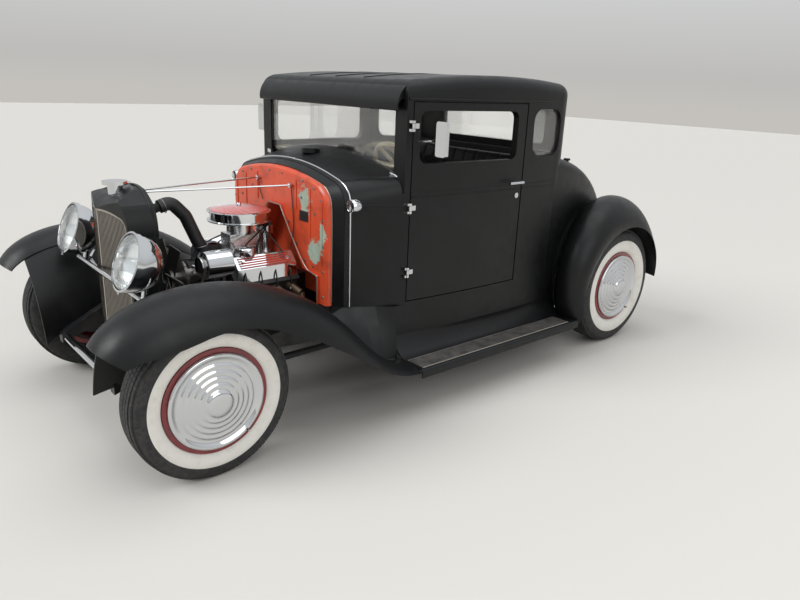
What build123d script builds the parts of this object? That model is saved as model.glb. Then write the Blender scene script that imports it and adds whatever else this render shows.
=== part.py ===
from build123d import *
from math import cos, hypot, radians, sin
import os

# A chopped and lowered five-window coupe of about 1930, built as a hot rod:
# open V8, no hood, swept fenders, wide whitewall tyres.
# Millimetres. +Z is up, +X is the car's left, +Y is its rear, and the origin
# is on the ground under the middle of the car.

# Overall
WHEELBASE = 2629.0
FRONT_OVERHANG = 405.0
REAR_OVERHANG = 440.0
LENGTH = FRONT_OVERHANG + WHEELBASE + REAR_OVERHANG
AXLE_Y = FRONT_OVERHANG - LENGTH / 2
REAR_AXLE_Y = AXLE_Y + WHEELBASE
FIT = 0.3

# Wheels and tyres
RIM_RADIUS = 190.0
RIM_FLANGE = 212.0
RIM_HALF = 60.0
RIM_WALL = 6.0
RIM_EDGE = 6.0
HUB_RADIUS = 58.0
HUB_OUT = 44.0
HUB_IN = -34.0
DISC_OUT = 24.0
DISC_THICK = 5.0
SPINDLE_RADIUS = 16.0
SPINDLE_END = 40.0
DRUM_RADIUS = 142.0
DRUM_DEPTH = 40.0
PLATE_RADIUS = 146.0
PLATE_THICK = 5.0
PLATE_GAP = 5.5
CAP_RADIUS = 193.0
CAP_SHELL = 2.0
# name, axle y, tyre radius, half of the section, distance of its plane from the middle
AXLES = [
    ("front", AXLE_Y, 323.0, 72.0, 680.0),
    ("rear", REAR_AXLE_Y, 350.0, 85.0, 702.0),
]
FRONT_HUB_Z = AXLES[0][2]
REAR_HUB_Z = AXLES[1][2]
SIDES = [("left", 1), ("right", -1)]

# Front axle and steering
KINGPIN_X = 590.0
KINGPIN_RADIUS = 10.0
KINGPIN_HALF = 66.0
EYE_RADIUS = 24.0
EYE_HALF = 30.0
EAR_THICK = 20.0
EAR_GAP = 1.0
UPRIGHT_IN = 30.0
UPRIGHT_THICK = 14.0
UPRIGHT_HALF = 34.0
BEAM_Z = 252.0
BEAM_RADIUS = 20.0
BEAM_BEND_X = 500.0
BEAM_RISE_X = 556.0
ARM_BACK = 130.0
ARM_DROP = 95.0
STUD_RADIUS = 6.0
TIE_EYE_RADIUS = 14.0
TIE_EYE_TALL = 20.0
TIE_ROD_RADIUS = 9.0

# Frame
RAIL_WIDTH = 45.0
RAIL_BOTTOM = 310.0
RAIL_TOP = 420.0
RAIL_KICK = 120.0
KICK_BOTTOM = RAIL_BOTTOM + RAIL_KICK
KICK_TOP = RAIL_TOP + RAIL_KICK
RAIL_FRONT_X = 365.0
RAIL_CAB_X = 455.0
RAIL_TAIL_X = 400.0
HORN_Y = AXLE_Y - 250.0
HORN_DROP = 40.0
RAIL_FLARE_Y = AXLE_Y + 350.0
RAIL_WIDE_Y = AXLE_Y + 1000.0
KICK_FOOT_Y = AXLE_Y + 2130.0
KICK_HEAD_Y = AXLE_Y + 2330.0
RAIL_END_Y = AXLE_Y + 2850.0
SPREADER_RADIUS = 17.0
SHELL_BOTTOM = 406.0

# Body
BODY_BOTTOM = 480.0
BODY_WALL = 36.0
FRONT_SHARE = 0.75
ROOF_WALL = 28.0
FIREWALL_Y = AXLE_Y + 708.0
COWL_FRONT_Y = AXLE_Y + 738.0
BAND_Y = AXLE_Y + 770.0
WINDSHIELD_Y = AXLE_Y + 1003.0
DOOR_FRONT_Y = AXLE_Y + 1035.0
DOOR_REAR_Y = AXLE_Y + 1785.0
CAB_REAR_Y = AXLE_Y + 2185.0
TAIL_Y = AXLE_Y + 2985.0
COWL_FRONT_HALF = 441.0
BAND_HALF = 484.0
CAB_FRONT_HALF = 618.0
BODY_HALF = 652.0
CAB_REAR_HALF = 640.0
TAIL_HALF = 430.0
ROOF_SPLIT_Z = 1415.0
DOOR_BOTTOM_Z = 500.0
DOOR_TOP_Z = 1410.0
DOOR_GAP = 5.0
LATCH_GAP = 8.0

# limits of each side window: station from, station to, height from, height to
DOOR_WINDOW = (AXLE_Y + 1079.0, AXLE_Y + 1715.0, 1142.0, 1375.0)
QUARTER_WINDOW = (AXLE_Y + 1842.0, AXLE_Y + 2075.0, 1150.0, 1388.0)
WINDOW_ROUND = 40.0
QUARTER_ROUND = 62.0
LID_HALF = 370.0
LID_FRONT_Y = AXLE_Y + 2330.0
LID_REAR_Y = AXLE_Y + 2880.0
LID_GAP = 6.0
REAR_WINDOW_HALF = 330.0
REAR_WINDOW_ROUND = 45.0
REAR_WINDOW_Z = (1190.0, 1372.0)
WINDSHIELD_HALF = 538.0
WINDSHIELD_TOP = 1388.0


# Small helpers, each adding to the piece that is being made


def block(x, y, z, mode=Mode.ADD):
    """A box between two limits on each axis."""
    with Locations(((x[0] + x[1]) / 2, (y[0] + y[1]) / 2, (z[0] + z[1]) / 2)):
        Box(x[1] - x[0], y[1] - y[0], z[1] - z[0], mode=mode)


def bar(start, end, radius, mode=Mode.ADD):
    """A round bar from one point to another."""
    run = Vector(*end) - Vector(*start)
    with BuildSketch(Plane(origin=start, z_dir=run)) as section:
        Circle(radius)
    extrude(section.sketch, amount=run.length, mode=mode)


def pipe(points, radius, bend):
    """A round pipe along straight runs joined by bends."""
    with BuildLine() as path:
        FilletPolyline(*points, radius=bend)
    with BuildSketch(Plane(origin=path.line @ 0, z_dir=path.line % 0)) as section:
        Circle(radius)
    sweep(section.sketch, path=path.line)


def turned(points, y, z):
    """A ring turned about a wheel's axle, from points of x and radius."""
    with BuildSketch(Plane.XZ.offset(-y)) as section:
        with BuildLine():
            Polyline(*[(x, z + radius) for x, radius in points], close=True)
        make_face()
    revolve(section.sketch, axis=Axis((0, y, z), (1, 0, 0)))


def drop_offcuts(piece, count=1):
    """Leaves only the largest solids of the piece that is being made."""
    for offcut in piece.part.solids().sort_by(SortBy.VOLUME)[:-count]:
        add(offcut, mode=Mode.SUBTRACT)


# Wheels, tyres and hubcaps at the four corners
wheel_pieces = []
for axle, axle_y, tyre_radius, half_section, track in AXLES:
    for side, sign in SIDES:
        hub_z = tyre_radius
        middle = sign * track

        # Flat tread, a shoulder, a sidewall and a bead a side: share of the half section, radius
        tyre_outline = [
            (-0.72, tyre_radius), (0.72, tyre_radius), (1.0, tyre_radius - 48), (0.78, RIM_FLANGE + 4),
            (0.78, RIM_RADIUS + FIT), (-0.78, RIM_RADIUS + FIT), (-0.78, RIM_FLANGE + 4),
            (-1.0, tyre_radius - 48),
        ]
        with BuildPart() as tyre:
            turned([(middle + share * half_section, r) for share, r in tyre_outline], axle_y, hub_z)

        # Rim with its outer flange, dished disc, hub and brake drum
        flange_in = 0.78 * half_section + FIT
        rim_outline = [
            (-flange_in, RIM_FLANGE - 8), (-flange_in, RIM_RADIUS), (flange_in, RIM_RADIUS),
            (flange_in, RIM_FLANGE), (flange_in + RIM_EDGE, RIM_FLANGE),
            (flange_in + RIM_EDGE, RIM_RADIUS - RIM_WALL), (DISC_OUT + 8, RIM_RADIUS - RIM_WALL),
            (DISC_OUT, HUB_RADIUS), (HUB_OUT, HUB_RADIUS), (HUB_OUT, SPINDLE_RADIUS + FIT),
            (HUB_IN, SPINDLE_RADIUS + FIT), (HUB_IN, HUB_RADIUS), (-10, HUB_RADIUS),
            (-10, DRUM_RADIUS - 8), (HUB_IN, DRUM_RADIUS - 8), (HUB_IN, DRUM_RADIUS),
            (-10 + DISC_THICK, DRUM_RADIUS), (-10 + DISC_THICK, HUB_RADIUS + 4),
            (DISC_OUT - DISC_THICK, HUB_RADIUS + 4),
            (DISC_OUT + 8 - DISC_THICK, RIM_RADIUS - RIM_WALL),
            (-flange_in - RIM_EDGE, RIM_RADIUS - RIM_WALL), (-flange_in - RIM_EDGE, RIM_FLANGE - 8),
        ]
        with BuildPart() as wheel:
            turned([(middle + sign * x, r) for x, r in rim_outline], axle_y, hub_z)

        # Full hubcap: a rolled edge, a dished step, a dome and a raised centre
        edge = flange_in + RIM_EDGE + CAP_SHELL + FIT
        cap_outline = [
            (edge, CAP_RADIUS), (edge + 10, CAP_RADIUS - 6), (edge + 4, 150), (edge + 18, 95),
            (edge + 20, 60), (edge + 32, 40), (edge + 36, 0),
        ]
        with BuildPart() as hubcap:
            turned([(middle + sign * x, r) for x, r in cap_outline]
                   + [(middle + sign * (x - CAP_SHELL), max(r - CAP_SHELL, 0))
                      for x, r in reversed(cap_outline)], axle_y, hub_z)

        corner = f"{axle}_{side}"
        wheel_pieces += [(f"tyre_{corner}", tyre), (f"wheel_{corner}", wheel), (f"hubcap_{corner}", hubcap)]

# Steering knuckles, each with its ears, upright, spindle, backing plate and arm
knuckle_pieces = []
track = AXLES[0][4]
for side, sign in SIDES:
    x_pin = sign * KINGPIN_X
    x_web = sign * (KINGPIN_X + UPRIGHT_IN)
    ear_low = FRONT_HUB_Z + EYE_HALF + EAR_GAP
    with BuildPart() as knuckle:
        for z in (ear_low, 2 * FRONT_HUB_Z - ear_low - EAR_THICK):
            with BuildSketch(Plane.XY.offset(z)):
                with Locations((x_pin, AXLE_Y)):
                    Circle(EYE_RADIUS)
                with Locations(((x_pin + x_web) / 2, AXLE_Y)):
                    Rectangle(UPRIGHT_IN, 2 * EYE_RADIUS)
            extrude(amount=EAR_THICK)
        block(sorted((x_web, x_web + sign * UPRIGHT_THICK)), (AXLE_Y - UPRIGHT_HALF, AXLE_Y + UPRIGHT_HALF),
              (2 * FRONT_HUB_Z - ear_low - EAR_THICK, ear_low + EAR_THICK))
        bar((x_web, AXLE_Y, FRONT_HUB_Z), (sign * (track + SPINDLE_END), AXLE_Y, FRONT_HUB_Z), SPINDLE_RADIUS)
        plate_x = sign * (track + HUB_IN - PLATE_GAP - PLATE_THICK)
        bar((plate_x, AXLE_Y, FRONT_HUB_Z), (plate_x + sign * PLATE_THICK, AXLE_Y, FRONT_HUB_Z), PLATE_RADIUS)
        arm_z = FRONT_HUB_Z - ARM_DROP
        bar((x_web, AXLE_Y + 20, FRONT_HUB_Z - 40), (x_pin, AXLE_Y + ARM_BACK, arm_z + 8), 9)
        bar((x_pin, AXLE_Y + ARM_BACK, arm_z), (x_pin, AXLE_Y + ARM_BACK, arm_z + 18), TIE_EYE_RADIUS)
        bar((x_pin, AXLE_Y + ARM_BACK, arm_z - TIE_EYE_TALL), (x_pin, AXLE_Y + ARM_BACK, arm_z), STUD_RADIUS)
        bar((x_pin, AXLE_Y, FRONT_HUB_Z - KINGPIN_HALF), (x_pin, AXLE_Y, FRONT_HUB_Z + KINGPIN_HALF),
            KINGPIN_RADIUS + 0.05, mode=Mode.SUBTRACT)
    knuckle_pieces.append((f"knuckle_{side}", knuckle))

with BuildPart() as tie_rod:
    tie_z = FRONT_HUB_Z - ARM_DROP - FIT
    for side, sign in SIDES:
        bar((sign * KINGPIN_X, AXLE_Y + ARM_BACK, tie_z - TIE_EYE_TALL),
            (sign * KINGPIN_X, AXLE_Y + ARM_BACK, tie_z), TIE_EYE_RADIUS)
    bar((-KINGPIN_X, AXLE_Y + ARM_BACK, tie_z - TIE_EYE_TALL / 2),
        (KINGPIN_X, AXLE_Y + ARM_BACK, tie_z - TIE_EYE_TALL / 2), TIE_ROD_RADIUS)
    for side, sign in SIDES:
        bar((sign * KINGPIN_X, AXLE_Y + ARM_BACK, tie_z - TIE_EYE_TALL),
            (sign * KINGPIN_X, AXLE_Y + ARM_BACK, tie_z), STUD_RADIUS + 0.05, mode=Mode.SUBTRACT)

# Front axle beam with its kingpin eyes, kingpins, leaf spring and radius rods
SPRING_HALF = 440.0
SPRING_CROWN = 58.0
SPRING_TALL = 16.0
SPRING_TOP = BEAM_Z + SPRING_CROWN + SPRING_TALL
ROD_X = 395.0
with BuildPart() as front_axle:
    drop = [(KINGPIN_X, FRONT_HUB_Z), (BEAM_RISE_X, FRONT_HUB_Z), (BEAM_BEND_X, BEAM_Z)]
    pipe([(-x, AXLE_Y, z) for x, z in drop] + [(x, AXLE_Y, z) for x, z in reversed(drop)], BEAM_RADIUS, 28)
    for side, sign in SIDES:
        bar((sign * KINGPIN_X, AXLE_Y, FRONT_HUB_Z - EYE_HALF),
            (sign * KINGPIN_X, AXLE_Y, FRONT_HUB_Z + EYE_HALF), EYE_RADIUS)
        bar((sign * KINGPIN_X, AXLE_Y, FRONT_HUB_Z - KINGPIN_HALF + 8),
            (sign * KINGPIN_X, AXLE_Y, FRONT_HUB_Z + KINGPIN_HALF - 8), KINGPIN_RADIUS)
        rod_end = (sign * (RAIL_CAB_X - RAIL_WIDTH / 2), RAIL_WIDE_Y + 50, RAIL_BOTTOM - 18)
        bar((sign * ROD_X, AXLE_Y, BEAM_Z + 12), rod_end, 12)
        bar((sign * ROD_X, AXLE_Y, BEAM_Z - 10), rod_end, 10)
        block(sorted((rod_end[0] - 16, rod_end[0] + 16)), (rod_end[1] - 18, rod_end[1] + 18),
              (rod_end[2] - 12, RAIL_BOTTOM - FIT))
        block(sorted((sign * (SPRING_HALF - 25), sign * SPRING_HALF)), (AXLE_Y - 20, AXLE_Y + 20),
              (BEAM_Z + 6, BEAM_Z + 40))
    with BuildSketch(Plane.XZ.offset(-AXLE_Y - 25)):
        with BuildLine():
            ThreePointArc((-SPRING_HALF, BEAM_Z + 36), (0, BEAM_Z + SPRING_CROWN), (SPRING_HALF, BEAM_Z + 36))
            Line((SPRING_HALF, BEAM_Z + 36), (SPRING_HALF, BEAM_Z + 42))
            ThreePointArc((SPRING_HALF, BEAM_Z + 42), (0, BEAM_Z + SPRING_CROWN + SPRING_TALL),
                          (-SPRING_HALF, BEAM_Z + 42))
            Line((-SPRING_HALF, BEAM_Z + 42), (-SPRING_HALF, BEAM_Z + 36))
        make_face()
    extrude(amount=50)

# Rear axle: tubes, differential, backing plates, shafts and coil-over dampers
AXLE_TUBE = 38.0
DIFF_RADIUS = 130.0
DIFF_WIDE = 105.0
COIL_X = 310.0
COIL_RADIUS = 28.0
ARM_RADIUS = 14.0
rear_track = AXLES[1][4]
with BuildPart() as rear_axle:
    turned([(-DIFF_WIDE, 0), (-DIFF_WIDE, AXLE_TUBE + 6), (-DIFF_WIDE / 2, DIFF_RADIUS),
            (DIFF_WIDE / 2, DIFF_RADIUS), (DIFF_WIDE, AXLE_TUBE + 6), (DIFF_WIDE, 0)],
           REAR_AXLE_Y, REAR_HUB_Z)
    for side, sign in SIDES:
        plate_x = sign * (rear_track + HUB_IN - PLATE_GAP - PLATE_THICK)
        bar((sign * DIFF_WIDE, REAR_AXLE_Y, REAR_HUB_Z), (plate_x, REAR_AXLE_Y, REAR_HUB_Z), AXLE_TUBE)
        bar((plate_x, REAR_AXLE_Y, REAR_HUB_Z), (plate_x + sign * PLATE_THICK, REAR_AXLE_Y, REAR_HUB_Z),
            PLATE_RADIUS)
        bar((plate_x, REAR_AXLE_Y, REAR_HUB_Z),
            (sign * (rear_track + SPINDLE_END), REAR_AXLE_Y, REAR_HUB_Z), SPINDLE_RADIUS)
        bar((sign * COIL_X, REAR_AXLE_Y + 30, REAR_HUB_Z),
            (sign * COIL_X, REAR_AXLE_Y + 30, KICK_TOP - 40 - FIT), COIL_RADIUS)
        arm_x = RAIL_CAB_X - RAIL_WIDTH / 2
        arm_z = RAIL_BOTTOM - ARM_RADIUS - 6
        bar((sign * arm_x, REAR_AXLE_Y + 20, arm_z), (sign * arm_x, REAR_AXLE_Y - 700, arm_z), ARM_RADIUS)
        block(sorted((sign * (arm_x - 16), sign * (arm_x + 16))), (REAR_AXLE_Y - 20, REAR_AXLE_Y + 20),
              (arm_z, REAR_HUB_Z))
        block(sorted((sign * (arm_x - 16), sign * (arm_x + 16))), (REAR_AXLE_Y - 720, REAR_AXLE_Y - 680),
              (arm_z - 12, RAIL_BOTTOM - FIT))

# Frame: two rails tapered in plan and kicked up over the rear axle, with crossmembers
# x of a rail's outer face and the station it holds at
RAIL_PLAN = [
    (RAIL_FRONT_X, HORN_Y), (RAIL_FRONT_X, RAIL_FLARE_Y), (RAIL_CAB_X, RAIL_WIDE_Y),
    (RAIL_CAB_X, KICK_FOOT_Y - 60), (RAIL_TAIL_X, KICK_HEAD_Y), (RAIL_TAIL_X, RAIL_END_Y),
]
# station, width along the car, bottom, top and half length of each crossmember
CROSSMEMBERS = [
    (AXLE_Y, 70, SPRING_TOP + FIT, SHELL_BOTTOM - FIT, RAIL_FRONT_X - RAIL_WIDTH),
    (AXLE_Y + 1380, 60, RAIL_BOTTOM + 4, RAIL_BOTTOM + 36, RAIL_CAB_X - RAIL_WIDTH),
    (REAR_AXLE_Y + 30, 90, KICK_TOP - 40, KICK_TOP, RAIL_TAIL_X - RAIL_WIDTH),
    (RAIL_END_Y - 15, 30, KICK_BOTTOM, KICK_TOP, RAIL_TAIL_X - RAIL_WIDTH),
]
# two holes through each rail's rear end, for a bumper or tow bracket
BRACKET_HOLES = (RAIL_END_Y - 115.0, RAIL_END_Y - 55.0)
BRACKET_Z = KICK_BOTTOM + 25.0
BRACKET_HOLE_RADIUS = 6.5
with BuildPart() as frame_rails:
    with BuildSketch(Plane.XY.offset(RAIL_BOTTOM - HORN_DROP)):
        with BuildLine():
            Polyline(*RAIL_PLAN, *[(x - RAIL_WIDTH, y) for x, y in reversed(RAIL_PLAN)], close=True)
        make_face()
    extrude(amount=KICK_TOP - RAIL_BOTTOM + HORN_DROP)
    with BuildSketch(Plane.YZ):
        with BuildLine():
            Polyline((HORN_Y, RAIL_BOTTOM - HORN_DROP), (HORN_Y + 110, RAIL_BOTTOM),
                     (KICK_FOOT_Y, RAIL_BOTTOM), (KICK_HEAD_Y, KICK_BOTTOM),
                     (RAIL_END_Y, KICK_BOTTOM), (RAIL_END_Y, KICK_TOP),
                     (KICK_HEAD_Y - 30, KICK_TOP), (KICK_FOOT_Y - 30, RAIL_TOP), (HORN_Y + 200, RAIL_TOP),
                     (HORN_Y, RAIL_BOTTOM - HORN_DROP + 45), close=True)
        make_face()
    extrude(amount=RAIL_CAB_X, mode=Mode.INTERSECT)
    mirror(about=Plane.YZ)
    for y, wide, low, high, half in CROSSMEMBERS:
        block((-half - 1, half + 1), (y - wide / 2, y + wide / 2), (low, high))
    for side, sign in SIDES:
        for y in BRACKET_HOLES:
            bar((sign * (RAIL_TAIL_X - RAIL_WIDTH - 1), y, BRACKET_Z),
                (sign * (RAIL_TAIL_X + 1), y, BRACKET_Z), BRACKET_HOLE_RADIUS, mode=Mode.SUBTRACT)

with BuildPart() as spreader_bar:
    spreader_end = (RAIL_FRONT_X - RAIL_WIDTH - FIT, HORN_Y + 22, RAIL_BOTTOM - HORN_DROP + 22)
    bar((-spreader_end[0], *spreader_end[1:]), spreader_end, SPREADER_RADIUS)

# Body shell: the cab and the deck behind it, as one hollow form
# half width of the body and its station
PLAN_SIDE = [(CAB_FRONT_HALF, WINDSHIELD_Y), (BODY_HALF, AXLE_Y + 1560), (CAB_REAR_HALF, AXLE_Y + 2050)]
PLAN_TAIL = (TAIL_HALF, TAIL_Y - 70)
TAIL_BOW = (230.0, TAIL_Y - 19.5)
CAB_CORNER = 110.0
# station and height of the roof's skin and of the deck's
ROOF_LINE = [(WINDSHIELD_Y, 1498), (AXLE_Y + 1640, 1538), (CAB_REAR_Y, 1508)]
DECK_LINE = [(CAB_REAR_Y - 200, 1140), (AXLE_Y + 2500, 1015), (TAIL_Y, 600)]
ROOF_ROUND = 64.0
DECK_ROUND = 55.0


def body_side(wall):
    """The bowed side of the cab in plan, on the left, as part of the line being drawn."""
    (front_x, front_y), middle, rear = PLAN_SIDE
    return ThreePointArc((front_x - wall, front_y + FRONT_SHARE * wall), (middle[0] - wall, middle[1]),
                         (rear[0] - wall, rear[1]))


def cab_form(wall, roof_wall, low):
    """The cab as a filled form, drawn in by its walls."""
    with BuildPart() as form:
        with BuildSketch(Plane.XY.offset(low)):
            with BuildLine():
                side = body_side(wall)
                Polyline(side @ 1, ((side @ 1).X - 4, CAB_REAR_Y - wall), (0, CAB_REAR_Y - wall),
                         (0, WINDSHIELD_Y + FRONT_SHARE * wall), side @ 0)
            make_face()
            mirror(about=Plane.YZ)
            fillet(vertices().group_by(Axis.Y)[-1], radius=CAB_CORNER - wall)
        extrude(amount=1600)
        with BuildSketch(Plane.YZ):
            with BuildLine():
                roof = ThreePointArc(*[(y, z - roof_wall) for y, z in ROOF_LINE])
                Polyline(roof @ 1, (CAB_REAR_Y, low), (WINDSHIELD_Y, low), roof @ 0)
            make_face()
        extrude(amount=BODY_HALF + 20, both=True, mode=Mode.INTERSECT)
        fillet(faces().sort_by(Axis.Z)[-1].edges(), radius=ROOF_ROUND - roof_wall)
    return form.part


def deck_form(wall, roof_wall, low):
    """The tail under the deck as a filled form, drawn in by its walls."""
    with BuildPart() as form:
        with BuildSketch(Plane.XY.offset(low)):
            with BuildLine():
                side = body_side(wall)
                flank = TangentArc(side @ 1, (PLAN_TAIL[0] - wall, PLAN_TAIL[1] - wall), tangent=side % 1)
                tail = ThreePointArc(flank @ 1, (TAIL_BOW[0] - wall / 2, TAIL_BOW[1] - wall),
                                     (0, TAIL_Y - wall))
                Polyline(tail @ 1, (0, WINDSHIELD_Y + FRONT_SHARE * wall), side @ 0)
            make_face()
            mirror(about=Plane.YZ)
            fillet(vertices().group_by(Axis.Y)[-2], radius=90 - wall)
        extrude(amount=1300)
        with BuildSketch(Plane.YZ):
            with BuildLine():
                deck = ThreePointArc(*[(y, z - roof_wall) for y, z in DECK_LINE])
                Polyline(deck @ 1, (TAIL_Y, low), (DECK_LINE[0][0], low), deck @ 0)
            make_face()
        extrude(amount=BODY_HALF + 20, both=True, mode=Mode.INTERSECT)
        fillet([edge for edge in edges() if edge.center().Z > 560 and edge.center().Y > CAB_REAR_Y
                and edge.bounding_box().size.Z > 20 and edge.bounding_box().size.Y > 20],
               radius=DECK_ROUND - roof_wall)
    return form.part


with BuildPart() as shell:
    add(cab_form(0, 0, BODY_BOTTOM))
    add(deck_form(0, 0, BODY_BOTTOM))
    add(cab_form(BODY_WALL, ROOF_WALL, BODY_BOTTOM - 10), mode=Mode.SUBTRACT)
    add(deck_form(BODY_WALL, ROOF_WALL, BODY_BOTTOM - 10), mode=Mode.SUBTRACT)


def window(limits, corner, x):
    """Cuts a rounded window through a side wall, between two values of x."""
    y_from, y_to, z_from, z_to = limits
    with BuildSketch(Plane.YZ.offset(min(x))) as hole:
        with Locations(((y_from + y_to) / 2, (z_from + z_to) / 2)):
            RectangleRounded(y_to - y_from, z_to - z_from, corner)
    extrude(hole.sketch, amount=abs(x[1] - x[0]), mode=Mode.SUBTRACT)


def cross_window(half, z_limits, corner, y):
    """Cuts a rounded window through the front or back wall, between two stations."""
    with BuildSketch(Plane.XZ.offset(-y[1])) as hole:
        with Locations((0, (z_limits[0] + z_limits[1]) / 2)):
            RectangleRounded(2 * half, z_limits[1] - z_limits[0], corner)
    extrude(hole.sketch, amount=y[1] - y[0], mode=Mode.SUBTRACT)


# Cowl: a ledge from the firewall out to the bright band, and the sides on to the doors
# station, half width, height at the middle, height and inward step of the corner, height of the shoulder
COWL_SECTIONS = [
    (COWL_FRONT_Y, COWL_FRONT_HALF, 1086.0, 1040.0, 76.0, 932.0),
    (BAND_Y, BAND_HALF, 1106.0, 1052.0, 97.0, 945.0),
    (DOOR_FRONT_Y, CAB_FRONT_HALF + 3.0, 1168.0, 1086.0, 73.0, 1010.0),
]
COWL_WALL = 22.0


def cowl_arch(section, wall, low):
    """The filled arch of the cowl at one of its sections."""
    y, half, top, corner, inward, shoulder = section
    side, crown, corner, shoulder = half - wall, top - wall, corner - wall, shoulder - wall
    with BuildSketch(Plane.XZ.offset(-y)) as arch:
        with BuildLine():
            Line((-side, low), (side, low))
            Line((side, low), (side, shoulder))
            TangentArc((side, shoulder), (side - inward, corner), tangent=(0, 1))
            ThreePointArc((side - inward, corner), (0, crown), (inward - side, corner))
            TangentArc((-side, shoulder), (inward - side, corner), tangent=(0, 1))
            Line((-side, shoulder), (-side, low))
        make_face()
    return arch.sketch


with BuildPart() as cowl_form:
    loft([cowl_arch(section, 0, BODY_BOTTOM) for section in COWL_SECTIONS], ruled=True)
with BuildPart() as cowl:
    add(cowl_form.part)
    loft([cowl_arch(section, COWL_WALL, BODY_BOTTOM - 1) for section in COWL_SECTIONS], ruled=True,
         mode=Mode.SUBTRACT)

# Windshield frame, roof, rear body, doors and deck lid, all cut from the one shell
with BuildPart() as windshield_frame:
    add(shell.part)
    block((-700, 700), (WINDSHIELD_Y - 1, DOOR_FRONT_Y), (1012, ROOF_SPLIT_Z), mode=Mode.INTERSECT)
    add(cowl_form.part, mode=Mode.SUBTRACT)
    block((-WINDSHIELD_HALF, WINDSHIELD_HALF), (WINDSHIELD_Y - 1, DOOR_FRONT_Y + 1), (1000, WINDSHIELD_TOP),
          mode=Mode.SUBTRACT)

VISOR_LIP = (AXLE_Y + 966, 1375)
with BuildPart() as roof:
    add(shell.part)
    block((-700, 700), (WINDSHIELD_Y - 1, CAB_REAR_Y + 1), (ROOF_SPLIT_Z, 1600), mode=Mode.INTERSECT)
    with BuildSketch(Plane.YZ.offset(-CAB_FRONT_HALF + 26)):
        with BuildLine():
            lip = Line(VISOR_LIP, (VISOR_LIP[0] + 8, VISOR_LIP[1] - 4))
            inner = ThreePointArc(lip @ 1, (WINDSHIELD_Y - 14, ROOF_SPLIT_Z + 5),
                                  (WINDSHIELD_Y, ROOF_SPLIT_Z + 8))
            back = Polyline(inner @ 1, (WINDSHIELD_Y + 8, ROOF_SPLIT_Z + 8), (WINDSHIELD_Y + 22, 1484))
            ThreePointArc(back @ 1, (VISOR_LIP[0] + 14, 1442), lip @ 0)
        make_face()
    extrude(amount=2 * CAB_FRONT_HALF - 52)

# Hinge barrels of the deck lid: x from, x to, on the lid and beside it on the body
LID_BARREL = (180.0, 215.0)
BODY_BARREL = (216.0, 250.0)
LID_BARREL_RADIUS = 9.0
LID_AXIS_Y = LID_FRONT_Y + LID_GAP
LID_AXIS_Z = 1083.0


def lid_barrels(span, radius, mode=Mode.ADD):
    """The deck lid's hinge barrels, or the room for them, one on each side."""
    for side, sign in SIDES:
        bar((sign * span[0], LID_AXIS_Y, LID_AXIS_Z), (sign * span[1], LID_AXIS_Y, LID_AXIS_Z), radius, mode)


with BuildPart() as rear_body:
    add(shell.part)
    block((-700, 700), (DOOR_FRONT_Y, TAIL_Y + 1), (BODY_BOTTOM, ROOF_SPLIT_Z), mode=Mode.INTERSECT)
    block((-700, 700), (DOOR_FRONT_Y - 1, DOOR_REAR_Y), (DOOR_BOTTOM_Z - DOOR_GAP, ROOF_SPLIT_Z + 1),
          mode=Mode.SUBTRACT)
    window(QUARTER_WINDOW, QUARTER_ROUND, (-700, 700))
    cross_window(REAR_WINDOW_HALF, REAR_WINDOW_Z, REAR_WINDOW_ROUND, (CAB_REAR_Y - 60, CAB_REAR_Y + 10))
    block((-LID_HALF, LID_HALF), (LID_FRONT_Y, LID_REAR_Y), (600, 1200), mode=Mode.SUBTRACT)
    lid_barrels(BODY_BARREL, LID_BARREL_RADIUS)
    lid_barrels(LID_BARREL, LID_BARREL_RADIUS + 3, mode=Mode.SUBTRACT)

with BuildPart() as deck_lid:
    add(shell.part)
    block((-LID_HALF + LID_GAP, LID_HALF - LID_GAP), (LID_FRONT_Y + LID_GAP, LID_REAR_Y - LID_GAP),
          (620, 1200), mode=Mode.INTERSECT)
    lid_barrels(LID_BARREL, LID_BARREL_RADIUS)
    lid_barrels((BODY_BARREL[0] - 0.5, BODY_BARREL[1] + 3), LID_BARREL_RADIUS + 3, mode=Mode.SUBTRACT)

door_pieces = []
for side, sign in SIDES:
    with BuildPart() as door:
        add(shell.part)
        block(sorted((sign * 400, sign * 700)), (DOOR_FRONT_Y + DOOR_GAP, DOOR_REAR_Y - LATCH_GAP),
              (DOOR_BOTTOM_Z, DOOR_TOP_Z), mode=Mode.INTERSECT)
        window(DOOR_WINDOW, WINDOW_ROUND, sorted((sign * 400, sign * 700)))
    door_pieces.append((f"door_{side}", door))

# Fenders, as thin crowned skins lofted through sections across their length
FENDER_WALL = 6.0
FENDER_OUT = 835.0
CROWN_X = 690.0


def fender_section(plane, out_x, lip, in_x, inner, crown):
    """A crowned skin in one plane: heights of its outer lip, crown and inner edge."""
    wall = FENDER_WALL
    with BuildSketch(plane) as section:
        with BuildLine():
            ThreePointArc((out_x, lip), (CROWN_X, crown), (in_x, inner))
            Line((in_x, inner), (in_x + 0.4 * wall, inner - wall))
            ThreePointArc((in_x + 0.4 * wall, inner - wall), (CROWN_X, crown - wall), (out_x - wall, lip))
            Line((out_x - wall, lip), (out_x, lip))
        make_face()
    return section.sketch


def leaning_plane(y, z, lean):
    """A plane across the car whose upright leans forwards by an angle."""
    return Plane(origin=(0, y, z), x_dir=(1, 0, 0), z_dir=(0, -cos(radians(lean)), -sin(radians(lean))))


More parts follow.
